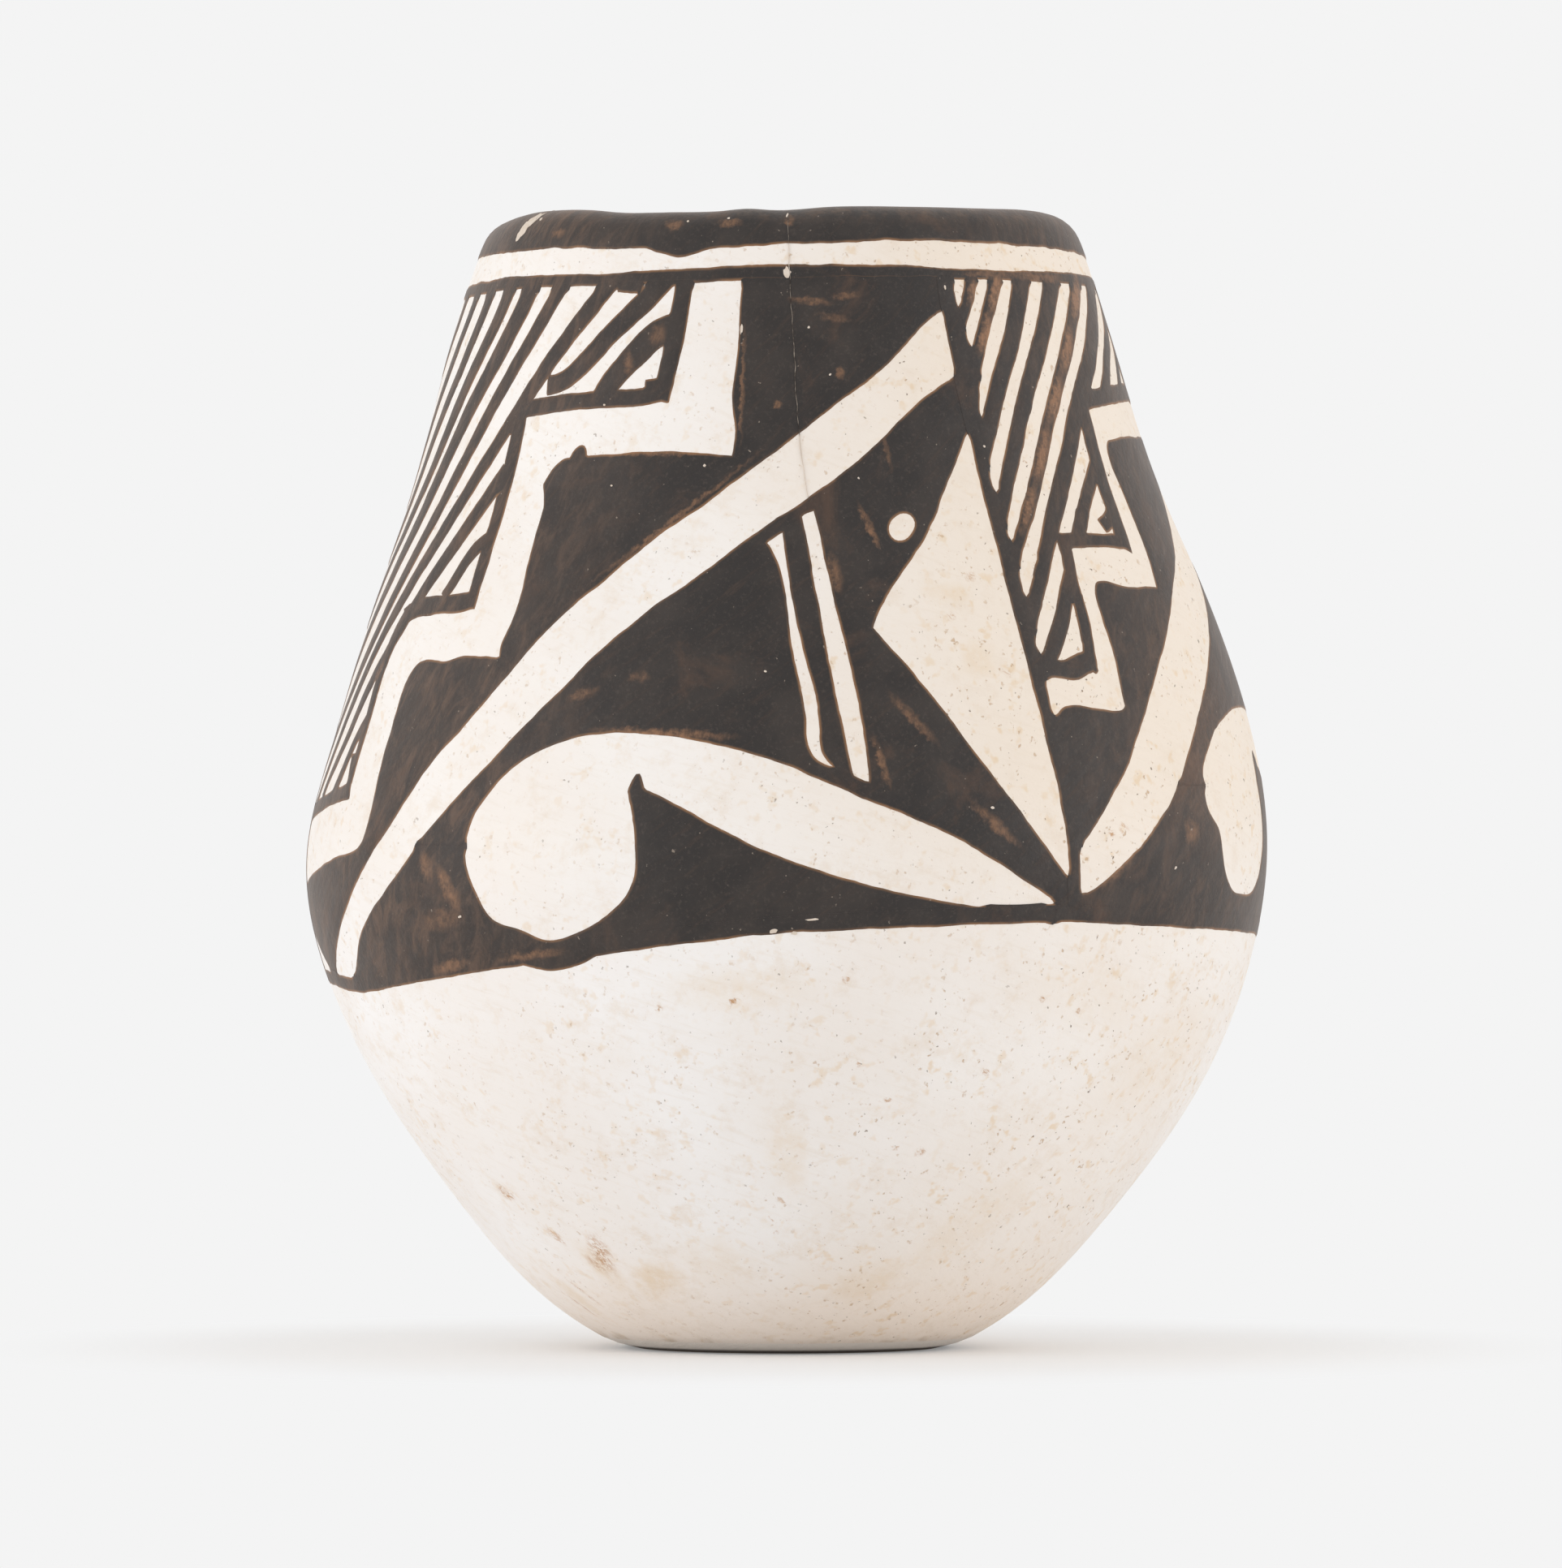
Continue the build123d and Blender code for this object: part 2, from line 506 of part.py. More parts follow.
def stair_field(stair, rainbow_top, middle):
    """Black between the white stair band and the rainbow band."""
    return area(stair + [rainbow_top], middle)


def bird_field(rainbow_belly, drop_back, turn, middle):
    """Black under the rainbow band, with the leaf, the eye and the slits left white."""
    leaf_top, leaf_bottom = white_leaf(turn)
    field = area([rainbow_belly, leaf_top, leaf_bottom, drop_back], middle)
    for hole in bird_holes(turn, middle):
        field = field - hole
    return field


def ground_field(rainbow_foot, drop_edges, turn, middle):
    """Black under the teardrop, down to the lower framing line."""
    last = DRAWN_DIVIDER + turn + GROUND_OVERRUN
    bottom = [(rainbow_foot[-1][0], LOW_ROW - 1), (last, LOW_ROW - 1)]
    leaf_tip = white_leaf(turn)[1][-1]
    return area([rainbow_foot, bottom, [bottom[-1], leaf_tip]] + drop_edges, middle)


def strokes(lines, middle):
    """Brush strokes of the hatching and of the line that follows the stairs."""
    return [stroke(start_width, end_width, points, middle) for start_width, end_width, points in lines]


def repeat_films(name, middle, span, fields, lines):
    """The four painted nodes of one repeat, kept between the framing lines and its dividers."""
    frame = frame_of(middle)
    for turn in (middle + span / 2 - DRAWN_DIVIDER, middle - span / 2 - DRAWN_DIVIDER):
        frame = frame - divider_area(turn, middle)
    frame = max(frame.faces(), key=lambda face: face.area)
    hatching = Sketch() + lines
    films = {f"hatching_{name}": film(frame & hatching, middle)}
    for field_name, field in fields.items():
        films[f"{field_name}_{name}"] = film(frame & field, middle)
    return films


def drawn_repeat(turn, scale, middle):
    """Fields and strokes of the front repeat, moved round the jar and drawn in or out."""
    def move(points):
        return stretched(points, turn, scale)

    drop_edges = [move(run) for run in (FRONT_DROP_TAIL, FRONT_DROP_SPIKE, FRONT_DROP_BOWL)]
    fields = {
        "stair_field": stair_field([move(run) for run in FRONT_STAIR], move(FRONT_RAINBOW_TOP), middle),
        "bird_field": bird_field(move(FRONT_RAINBOW_BELLY), move(FRONT_DROP_BACK), turn, middle),
        "ground_field": ground_field(move(FRONT_RAINBOW_FOOT), drop_edges, turn, middle),
    }
    lines = [(start, end, move(points)) for start, end, points in FRONT_STAIR_LINE + FRONT_HATCHING]
    return fields, strokes(lines, middle)


def right_repeat(middle):
    """Fields and strokes of the right repeat."""
    turn = RIGHT_SPAN
    drop_edges = [RIGHT_DROP_TAIL, RIGHT_DROP_SPIKE, RIGHT_DROP_BOWL]
    fields = {
        "stair_field": stair_field(RIGHT_STAIR, RIGHT_RAINBOW_TOP, middle),
        "bird_field": bird_field(RIGHT_RAINBOW_BELLY, RIGHT_DROP_BACK, turn, middle),
        "ground_field": ground_field(RIGHT_RAINBOW_FOOT, drop_edges, turn, middle),
    }
    return fields, strokes(RIGHT_STAIR_LINE + RIGHT_HATCHING, middle)


# Whole jar

def paint_side(thickness, low, high):
    """Profile of the paint between two heights, at this thickness of it."""
    curve = outer_curve(-PAINT_CLEARANCE - thickness)
    return curve.trim(height_share(curve, low), height_share(curve, high))


def paint_panel():
    """A stretch of paint over the whole painted band, facing azimuth 0."""
    low = row_height(LOW_ROW - 1)
    high = BAND_TOP
    section = layer_between([paint_side(PAINT_THICKNESS, low, high)], [paint_side(0, low, high)])
    panel = turned(section, 2 * PANEL_HALF_ANGLE)
    return panel.rotate(Axis.Z, FRONT_DIRECTION - PANEL_HALF_ANGLE)


PANEL = paint_panel()
CHART_PLANE = Plane.XZ.offset(OUT_OF_JAR)


def rim_band():
    """Black band over the lip."""
    outside = LIP_CREST - RIM_BAND_OUTSIDE
    inside = LIP_CREST - RIM_BAND_INSIDE
    paint = over_lip(-PAINT_CLEARANCE - PAINT_THICKNESS, outside, inside)
    return turned(layer_between(paint, over_lip(-PAINT_CLEARANCE, outside, inside)))


def upper_line():
    """Slightly tilted black line under the rim."""
    height = LIP_CREST - UPPER_LINE_DROP
    low = height - 2 * UPPER_LINE_TILT
    high = height + UPPER_LINE_WIDTH + 2 * UPPER_LINE_TILT
    ring = turned(layer_between([paint_side(PAINT_THICKNESS, low, high)], [paint_side(0, low, high)]))
    side = math.radians(UPPER_LINE_HIGH_SIDE)
    slope = UPPER_LINE_TILT / radius_at(height)
    tilted = Plane(origin=(0, 0, height), z_dir=(-slope * math.sin(side), slope * math.cos(side), 1))
    slab = tilted * Cylinder(OUT_OF_JAR, UPPER_LINE_WIDTH, align=(Align.CENTER, Align.CENTER, Align.MIN))
    return ring & slab


def lower_line(middle, span):
    """One repeat's length of the lower framing line."""
    lower_runs = lower_line_runs(middle)
    upper_runs = [raised(run, LOWER_LINE_WIDTH)[::-1] for run in lower_runs[::-1]]
    line = area(lower_runs + upper_runs, middle)
    length = area([upright(middle - span / 2), upright(middle + span / 2)[::-1]], middle)
    return film(line & length, middle)


def divider(turn):
    """Upright black line between two repeats."""
    middle = DRAWN_DIVIDER + turn
    return film(frame_of(middle) & divider_area(turn, middle), middle)


def painted_pieces():
    """Every painted node."""
    pieces = {"rim_band": rim_band(), "upper_line": upper_line()}
    repeats = [
        ("front", FRONT_MIDDLE, FRONT_SPAN, drawn_repeat(0, 1, FRONT_MIDDLE)),
        ("right", RIGHT_MIDDLE, RIGHT_SPAN, right_repeat(RIGHT_MIDDLE)),
        ("left", LEFT_MIDDLE, LEFT_SPAN,
         drawn_repeat(RIGHT_SPAN + LEFT_SPAN, LEFT_SPAN / FRONT_SPAN, LEFT_MIDDLE)),
    ]
    for name, middle, span, (fields, lines) in repeats:
        pieces[f"lower_line_{name}"] = lower_line(middle, span)
        pieces[f"divider_{name}"] = divider(middle + span / 2 - DRAWN_DIVIDER)
        pieces.update(repeat_films(name, middle, span, fields, lines))
    return pieces


def write_pieces(pieces):
    """One file for each node."""
    os.makedirs("parts", exist_ok=True)
    for name, piece in pieces.items():
        export_step(piece, f"parts/{name}.step")


write_pieces(clay_pieces() | {"slip_coat": turned(slip_section())} | painted_pieces())
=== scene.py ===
import json
import math

import bmesh
import bpy
import numpy as np
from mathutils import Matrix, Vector, noise
from mathutils.geometry import delaunay_2d_cdt
from mathutils.kdtree import KDTree


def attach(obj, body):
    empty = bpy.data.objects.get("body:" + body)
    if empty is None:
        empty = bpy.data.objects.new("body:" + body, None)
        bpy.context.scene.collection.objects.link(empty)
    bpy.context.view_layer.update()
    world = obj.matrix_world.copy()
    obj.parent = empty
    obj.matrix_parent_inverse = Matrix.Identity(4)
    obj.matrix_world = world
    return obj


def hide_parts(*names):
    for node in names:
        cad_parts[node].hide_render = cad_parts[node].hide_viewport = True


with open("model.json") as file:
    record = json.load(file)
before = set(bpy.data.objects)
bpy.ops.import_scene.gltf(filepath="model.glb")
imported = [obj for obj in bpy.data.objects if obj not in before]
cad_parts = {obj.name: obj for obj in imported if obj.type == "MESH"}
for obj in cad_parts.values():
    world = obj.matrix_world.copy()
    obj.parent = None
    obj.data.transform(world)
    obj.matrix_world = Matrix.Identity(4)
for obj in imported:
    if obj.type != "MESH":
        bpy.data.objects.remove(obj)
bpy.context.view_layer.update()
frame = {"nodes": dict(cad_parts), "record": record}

# Looks of a small coiled jar: every layer is shaped again from its solid, with the unevenness of handwork.
# Shapes are worked out in millimetres. Azimuth 0 faces -Y and grows towards +X.
MM = 0.001
NEAR = 0.001
TINY = 1e-9

# Fineness of the meshes: columns round the jar, steps along sections and edges, the row of points inside an
# edge, the grid within it, gaps that are closed, and turns in degrees that make a corner.
COLUMNS = 272
FINE_COLUMNS = 720
WALL_STEP = 0.7
FACE_STEP = WALL_STEP / 4
CLAY_STEP = 1.0
EDGE_STEP = 0.22
LEAST_POINTS = 9
INSET = 0.2
INSET_CLEAR = 0.8 * INSET
GRID_STEP = 0.75
GRID_CLEAR = 0.6 * GRID_STEP
MERGE_GAP = 1e-7
FILL_GAP = 1e-5
CORNER_TURN = 20.0
SHARP_TURN = 50.0

# Charts of the painted areas: length round the jar at this radius, and height.
CHART_RADIUS = 26.0

# Paint: how far it stands on the slip and reaches into it, how far one area goes under its neighbour, and how
# unsteady the brush is, with the place in the noise that each edge follows.
EDGE_LIFT = 0.008
FIELD_LIFT = 0.030
STROKE_LIFT = 0.036
LINE_LIFT = 0.042
PAINT_DEPTH = 0.03
OVERLAP = 0.18
SHARED_GAP = 0.2
SHARED_STEP = 0.05
WOBBLE = 0.075
WOBBLE_LENGTH = 1.5
FINE_WOBBLE = 0.028
FINE_WOBBLE_LENGTH = 0.42
FIELD_PHASES = (3.7, 9.1)
RIM_OUTER_PHASE = 2.3
RIM_INNER_PHASE = 5.9
RIM_INNER_WOBBLE = 3
LINE_LOW_PHASE = 7.7
LINE_HIGH_PHASE = 11.3

# Handwork: sideways lean by height, rise of the rim by azimuth and the height that it starts from.
LEAN = [
    (0, 0.0), (12, 0.02), (20, 0.08), (30, 0.06), (38, 0.34), (47, 0.18), (55, -0.18), (62, -0.29),
    (70, -0.3),
]
RIM_WAVE_START = 62.0
RIM_WAVES = [
    (-180, 0.1), (-140, 0.25), (-105, 0.1), (-80, 0.2), (-58, 0.46), (-45, 0.36), (-36, 0.12), (-24, 0.06),
    (-14, 0.06), (-7, 0.2), (-1, 0.1), (10, 0.32), (28, 0.4), (44, 0.45), (62, 0.56), (76, 0.5), (95, 0.15),
    (120, 0.2), (150, 0.05), (180, 0.1),
]

# Shallow lumps of the wall: how many go round, depth, twist by height and phase, and the heights and radii
# over which they set in.
LUMPS = [(2, 0.11, 0.10, 0.4), (3, 0.07, 0.16, 1.9), (5, 0.05, 0.23, 3.1), (7, 0.035, 0.31, 5.0)]
LUMP_HEIGHTS = (0, 9)
LUMP_RADII = (2, 10)

# Rounding of the foot's edge: how far in, up to which height, and the radii over which it sets in.
FOOT_ROUND = 0.8
FOOT_ROUND_TOP = 0.5
FOOT_ROUND_RADII = (5, 10)

# Lower edge of the rim band: azimuth, and how far it stands above the solid's edge.
RIM_BAND_EDGE = [
    (-180, 0.1), (-120, -0.05), (-80, -0.15), (-57, -0.26), (-45, -0.14), (-37, -0.1), (-29, -0.1),
    (-26, -0.1), (-24, -0.34), (-22.5, -0.48), (-19.5, -0.66), (-16.3, -0.5), (-13.5, -0.2), (-10, -0.22),
    (-4, -0.15), (0, 0.08), (5, -0.06), (11, -0.06), (21, 0.06), (38, 0.02), (50, -0.06), (60, -0.15),
    (75, -0.25), (120, -0.1), (150, 0.15), (180, 0.1),
]
RIM_BAND_ROWS = 22

# Upper edge of the upper framing line: azimuth, and how far it stands above the solid's edge.
UPPER_LINE_EDGE = [
    (-180, 0.0), (-60, 0.0), (-36, -0.04), (-20, 0.1), (-8, 0.14), (0, 0.22), (6, 0.12), (12, 0.04),
    (22, -0.02), (30, -0.12), (60, -0.14), (90, 0.0), (180, 0.0),
]
LINE_ROWS = 5

# Hairline crack down from the rim: azimuth and height, then its width, the strength, fineness and place of
# the noise by which it strays and swells, and the length and width of its tail.
CRACK = [
    (1.0, 69.0), (1.1, 67.0), (1.3, 65.3), (1.5, 63.0), (1.9, 60.5), (2.0, 58.0), (2.3, 56.0), (2.6, 54.0),
    (3.2, 51.5),
]
CRACK_LIFT = 0.066
CRACK_WIDTH = 0.04
CRACK_STEP = 0.3
CRACK_STRAY = (0.1, 1.3, (0.0, 6.1))
CRACK_SWELL = (1.1, 0.9, (4.0, 1.7))
CRACK_TAIL = 3
CRACK_TAIL_WIDTH = 0.5

# Chips and flecks where the slip shows through the paint: azimuth, height, half length, half width and slant.
FLECKS = [
    (-57.2, 68.75, 0.6, 0.4, 20), (-58.2, 68.4, 0.66, 0.4, 20), (-59.4, 68.0, 0.62, 0.36, 20),
    (-60.4, 67.6, 0.46, 0.28, 20), (-55.0, 68.5, 0.14, 0.1, 0), (0.8, 65.3, 0.36, 0.27, 100),
    (-12.3, 53.65, 0.1, 0.08, 0), (-27.1, 52.5, 0.08, 0.06, 0), (29.5, 64.4, 0.14, 0.08, 80),
    (4.4, 62.0, 0.1, 0.07, 0), (7.7, 59.15, 0.1, 0.06, 30), (-42.0, 26.7, 0.12, 0.07, 20),
    (24.3, 33.2, 0.1, 0.08, 0), (-7.0, 61.9, 0.3, 0.1, 85), (-1.7, 25.9, 0.2, 0.13, 20),
    (0.7, 25.8, 0.16, 0.1, 10), (2.8, 26.6, 0.32, 0.06, 5), (-18.5, 68.45, 0.1, 0.06, 0),
    (-10.4, 68.5, 0.12, 0.05, 0), (0.9, 68.7, 0.14, 0.08, 50), (32.4, 54.9, 0.1, 0.07, 0),
    (16.0, 45.2, 0.12, 0.06, 60), (-3.5, 41.3, 0.09, 0.07, 0), (-30.0, 57.4, 0.09, 0.06, 0),
    (11.0, 52.9, 0.07, 0.06, 0), (52.0, 29.6, 0.12, 0.06, 40),
]
FLECK_POINTS = 11
FLECK_LIFT = 0.062
FLECK_FALL = 0.004
FLECK_ROUGH = 0.45
FLECK_FINENESS = 1.7
FLECK_PHASE = 4.3

# View: distance and height of the eye, size and scale of the picture, and where axis and eye fall in it.
EYE_DISTANCE = 745.0
EYE_HEIGHT = 32.98
PICTURE = (1924, 1932)
PIXELS_PER_MM = 20.0
AXIS_PIXEL = 970
EYE_PIXEL = 1000
SENSOR = 36.0


def srgb(red, green, blue):
    """A display colour of 0 to 255 as a linear colour with full alpha."""
    def linear(value):
        share = value / 255
        return share / 12.92 if share <= 0.04045 else ((share + 0.055) / 1.055) ** 2.4

    return (linear(red), linear(green), linear(blue), 1.0)


# Reading the solids

def merged_mesh(node):
    """Corner points in millimetres and triangles of a solid, with coincident points merged."""
    mesh = frame["nodes"][node].data
    mesh.calc_loop_triangles()
    points = np.empty(len(mesh.vertices) * 3)
    mesh.vertices.foreach_get("co", points)
    points = points.reshape(-1, 3) / MM
    corners = np.empty(len(mesh.loop_triangles) * 3, dtype=np.int64)
    mesh.loop_triangles.foreach_get("vertices", corners)
    _, first, same = np.unique(points.round(4), axis=0, return_index=True, return_inverse=True)
    return points[first], same.ravel()[corners].reshape(-1, 3)


def sides_of(triangles):
    """The three sides of each triangle, as pairs of points in its running order."""
    return np.vstack([triangles[:, [0, 1]], triangles[:, [1, 2]], triangles[:, [2, 0]]])


def chains(pairs):
    """Runs of points that pairs of neighbours make up, each open or closed."""
    neighbours = {}
    for first, second in pairs:
        neighbours.setdefault(first, set()).add(second)
        neighbours.setdefault(second, set()).add(first)
    runs = []
    while neighbours:
        ends = [point for point, others in neighbours.items() if len(others) == 1]
        run = [ends[0] if ends else next(iter(neighbours))]
        while neighbours.get(run[-1]):
            after = neighbours[run[-1]].pop()
            neighbours[after].discard(run[-1])
            run.append(after)
        for point in set(run):
            if not neighbours[point]:
                del neighbours[point]
        runs.append(run)
    return runs


def without_repeats(run):
    """A run without the points that lie on the point before them."""
    apart = np.linalg.norm(np.diff(run, axis=0), axis=1) > NEAR
    return run[np.concatenate([[True], apart])]


def seam_runs(node):
    """Section of a turned solid on the half plane through +X: runs of radius and height."""
    points, triangles = merged_mesh(node)
    on_seam = (np.abs(points[:, 1]) < NEAR) & (points[:, 0] > -NEAR)
    sides = sides_of(triangles)
    sides = sides[on_seam[sides].all(axis=1)]
    pairs = {tuple(sorted(pair)) for pair in sides.tolist()}
    return [without_repeats(points[run][:, [0, 2]]) for run in chains(sorted(pairs))]


def whole_section(node):
    """One run round the whole section, closed or from axis to axis."""
    runs = seam_runs(node)
    joined = runs.pop(0)
    while runs:
        end = joined[-1]
        gaps = [min(np.linalg.norm(run[0] - end), np.linalg.norm(run[-1] - end)) for run in runs]
        after = runs.pop(int(np.argmin(gaps)))
        if np.linalg.norm(after[-1] - end) < np.linalg.norm(after[0] - end):
            after = after[::-1]
        joined = np.vstack([joined, after])
    return joined


# Curves

def through(knots, where):
    """Smooth values at some places through a list of (place, value) knots."""
    places, values = np.array(knots, dtype=float).T
    slopes = np.gradient(values, places)
    index = np.clip(np.searchsorted(places, where) - 1, 0, len(places) - 2)
    width = places[index + 1] - places[index]
    share = np.clip((where - places[index]) / width, 0, 1)
    rise = 3 * share ** 2 - 2 * share ** 3
    leave = share ** 3 - 2 * share ** 2 + share
    arrive = share ** 3 - share ** 2
    bend = width * (leave * slopes[index] + arrive * slopes[index + 1])
    return values[index] * (1 - rise) + values[index + 1] * rise + bend


def lengths_along(run):
    """Distance from the start of a run to each of its points."""
    return np.concatenate([[0.0], np.cumsum(np.linalg.norm(np.diff(run, axis=0), axis=1))])


def corner_split(run):
    """A run cut into smooth stretches at its sharp corners."""
    steps = np.diff(run, axis=0)
    headings = np.arctan2(steps[:, 1], steps[:, 0])
    turns = np.abs((np.diff(headings) + np.pi) % (2 * np.pi) - np.pi)
    corners = [index + 1 for index in np.flatnonzero(turns > math.radians(CORNER_TURN))]
    cuts = [0] + corners + [len(run) - 1]
    return [run[first:last + 1] for first, last in zip(cuts, cuts[1:])]


def smoothed(run, step):
    """Points along a run at about this step, smooth between its corners."""
    out = []
    for stretch in corner_split(run):
        along = lengths_along(stretch)
        where = np.linspace(0, along[-1], max(2, int(round(along[-1] / step)) + 1))
        fine = np.column_stack([through(list(zip(along, stretch[:, axis])), where) for axis in (0, 1)])
        out.append(fine if not out else fine[1:])
    return np.vstack(out)


def smooth_step(low, high, value):
    """0 below low, 1 above high, and a smooth rise between."""
    share = np.clip((value - low) / (high - low), 0, 1)
    return share * share * (3 - 2 * share)


# Outer face of the slip, from just above the foot over the lip to its end inside

def faces_by_radius(node):
    """The long smooth stretches of a layer's section, each up from its outer end, the inner face first."""
    stretches = [stretch for run in seam_runs(node) for stretch in corner_split(run)]
    longest = sorted(stretches, key=lambda stretch: lengths_along(stretch)[-1])[-2:]
    upward = [stretch if stretch[0, 0] > stretch[-1, 0] or stretch[0, 1] < stretch[-1, 1] else stretch[::-1]
              for stretch in longest]
    return sorted(upward, key=lambda stretch: stretch[:, 0].max())


FACE = smoothed(faces_by_radius("slip_coat")[1], FACE_STEP)
FACE_ALONG = lengths_along(FACE)
FACE_HEADING = np.gradient(FACE, FACE_ALONG, axis=0)
CREST = int(np.argmax(FACE[:, 1]))
CREST_RADIUS, TOP = FACE[CREST]


def along_at(height):
    """Distance along the slip's outside at which it reaches a height below the crest."""
    return np.interp(height, FACE[:CREST + 1, 1], FACE_ALONG[:CREST + 1])


def along_face(along, table):
    """Both columns of a table of the slip's face, at distances along it."""
    return [np.interp(along, FACE_ALONG, column) for column in table.T]


def ring_points(radius, azimuth, height):
    """Points in space from radii, azimuths in radians and heights."""
    return np.column_stack([radius * np.sin(azimuth), -radius * np.cos(azimuth), height])


def azimuths(points):
    """Azimuth of points in space, in radians."""
    return np.arctan2(points[:, 0], -points[:, 1])


def hand_made(points):
    """Points of the true form moved to the leaning, wavy form of handwork."""
    azimuth = azimuths(points)
    height = points[:, 2]
    radius = np.hypot(points[:, 0], points[:, 1])
    lump = sum(depth * np.sin(count * azimuth + phase + twist * height)
               for count, depth, twist, phase in LUMPS)
    lump = lump * smooth_step(*LUMP_HEIGHTS, height) * smooth_step(*LUMP_RADII, radius)
    low = 1 - smooth_step(0, FOOT_ROUND_TOP, height)
    lump = lump - FOOT_ROUND * low * smooth_step(*FOOT_ROUND_RADII, radius)
    moved = points.copy()
    moved[:, 0] += through(LEAN, height) + lump * np.sin(azimuth)
    moved[:, 1] -= lump * np.cos(azimuth)
    wave = through(RIM_WAVES, np.degrees(azimuth))
    moved[:, 2] += wave * smooth_step(RIM_WAVE_START, TOP, height)
    return moved


def on_face(azimuth, along, lift):
    """Points over the slip's face: azimuth in radians, distance along the section, and height above it."""
    radius, height = along_face(along, FACE)
    out_ward, up_ward = along_face(along, FACE_HEADING)
    return ring_points(radius + up_ward * lift, azimuth, height - out_ward * lift)


def on_chart(chart, lift):
    """Hand-made points over the painted wall, from chart points."""
    return hand_made(on_face(chart[:, 0] / CHART_RADIUS, along_at(chart[:, 1]), lift))


# Meshes

def placed(name, data):
    """A new object on the stage."""
    made = bpy.data.objects.new(name, data)
    bpy.context.scene.collection.objects.link(made)
    return made


def add_piece(name, points, faces, material, node=None, edge=None):
    """A closed mesh piece from points in millimetres, in place of a solid if there is one."""
    mesh = bpy.data.meshes.new(name)
    mesh.from_pydata((np.asarray(points) * MM).tolist(), [], faces)
    mesh.validate()
    if edge is not None:
        layer = mesh.attributes.new("edge", "FLOAT", "POINT")
        layer.data.foreach_set("value", np.asarray(edge, dtype=np.float32))
    mesh.materials.append(material)
    turn_outward(mesh)
    mesh.polygons.foreach_set("use_smooth", [True] * len(mesh.polygons))
    mesh.set_sharp_from_angle(angle=math.radians(SHARP_TURN))
    piece = placed(name, mesh)
    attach(piece, "root")
    if node is not None:
        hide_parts(node)


def turn_outward(mesh):
    """Faces of a closed mesh turned to look out, and points that coincide merged."""
    work = bmesh.new()
    work.from_mesh(mesh)
    bmesh.ops.remove_doubles(work, verts=work.verts, dist=MERGE_GAP)
    bmesh.ops.recalc_face_normals(work, faces=work.faces)
    work.to_mesh(mesh)
    work.free()


def ring_faces(rows, columns, closed):
    """Quads between rows of columns that run round the jar."""
    faces = []
    for row in range(rows if closed else rows - 1):
        after = (row + 1) % rows
        for column in range(columns):
            beside = (column + 1) % columns
            faces.append((row * columns + column, row * columns + beside,
                          after * columns + beside, after * columns + column))
    return faces


def turned(section):
    """Hand-made points of a section turned round the axis, row after row."""
    angle = np.tile(np.linspace(0, 2 * np.pi, COLUMNS, endpoint=False), len(section))
    radius, height = np.repeat(section, COLUMNS, axis=0).T
    return hand_made(ring_points(radius, angle, height))


def add_turned(name, node, step, material):
    """A turned solid made again with fine, even faces."""
    section = whole_section(node)
    solid_core = section[:, 0].min() < NEAR
    if solid_core:
        ends = [[(0.0, end[1])] if end[0] > NEAR else np.empty((0, 2)) for end in (section[0], section[-1])]
        section = np.vstack([ends[0], section, ends[1]])
    elif np.linalg.norm(section[0] - section[-1]) > NEAR:
        section = np.vstack([section, section[:1]])
    fine = smoothed(section, step)
    fine = fine if solid_core else fine[:-1]
    faces = ring_faces(len(fine), COLUMNS, not solid_core)
    add_piece(name, turned(fine), faces, material, node)


# Painted areas

def outlines(node):
    """Closed outlines of a film where it lies on the slip, as points in space."""
    points, triangles = merged_mesh(node)
    along = along_at(points[:, 2])
    radius, _ = along_face(along, FACE)
    _, up_ward = along_face(along, FACE_HEADING)
    gap = (np.hypot(points[:, 0], points[:, 1]) - radius) * up_ward
    on_slip = gap < (gap.min() + gap.max()) / 2
    sides = sides_of(triangles[on_slip[triangles].all(axis=1)])
    known = {tuple(side) for side in sides.tolist()}
    pairs = [side for side in sorted(known) if side[::-1] not in known]
    return [points[run[:-1]] for run in chains(pairs)]


def charted(loops):
    """Outlines in space as chart points, unrolled about their middle."""
    centre = azimuths(np.vstack(loops).mean(axis=0, keepdims=True))[0]
    flat = []
    for loop in loops:
        azimuth = centre + (azimuths(loop) - centre + np.pi) % (2 * np.pi) - np.pi
        flat.append(np.column_stack([azimuth * CHART_RADIUS, loop[:, 2]]))
    return flat


def even_steps(loop, step):
    """Points at even steps round a closed loop."""
    closed = np.vstack([loop, loop[:1]])
    along = lengths_along(closed)
    where = np.linspace(0, along[-1], max(LEAST_POINTS, int(along[-1] / step)), endpoint=False)
    return np.column_stack([np.interp(where, along, closed[:, axis]) for axis in range(loop.shape[1])])


def signed_area(loop):
    """Area of a closed loop, above zero where its inside is on its left."""
    after = np.roll(loop, -1, axis=0)
    return 0.5 * np.sum(loop[:, 0] * after[:, 1] - after[:, 0] * loop[:, 1])


def inside(points, loops):
    """Which chart points lie in the area that outlines with holes enclose."""
    crossings = np.zeros(len(points), dtype=int)
    for loop in loops:
        for (left, low), (right, high) in zip(loop, np.roll(loop, -1, axis=0)):
            if low == high:
                continue
            between = (points[:, 1] >= min(low, high)) & (points[:, 1] < max(low, high))
            cut = left + (points[:, 1] - low) * (right - left) / (high - low)
            crossings += between & (points[:, 0] < cut)
    return crossings % 2 == 1


def left_handed(loops):
    """Outlines turned, if need be, so that the painted side is on their left."""
    ordered = []
    for number, loop in enumerate(loops):
        others = loops[:number] + loops[number + 1:]
        is_hole = inside(loop[:1], others)[0]
        ordered.append(loop if (signed_area(loop) > 0) != is_hole else loop[::-1])
    return ordered


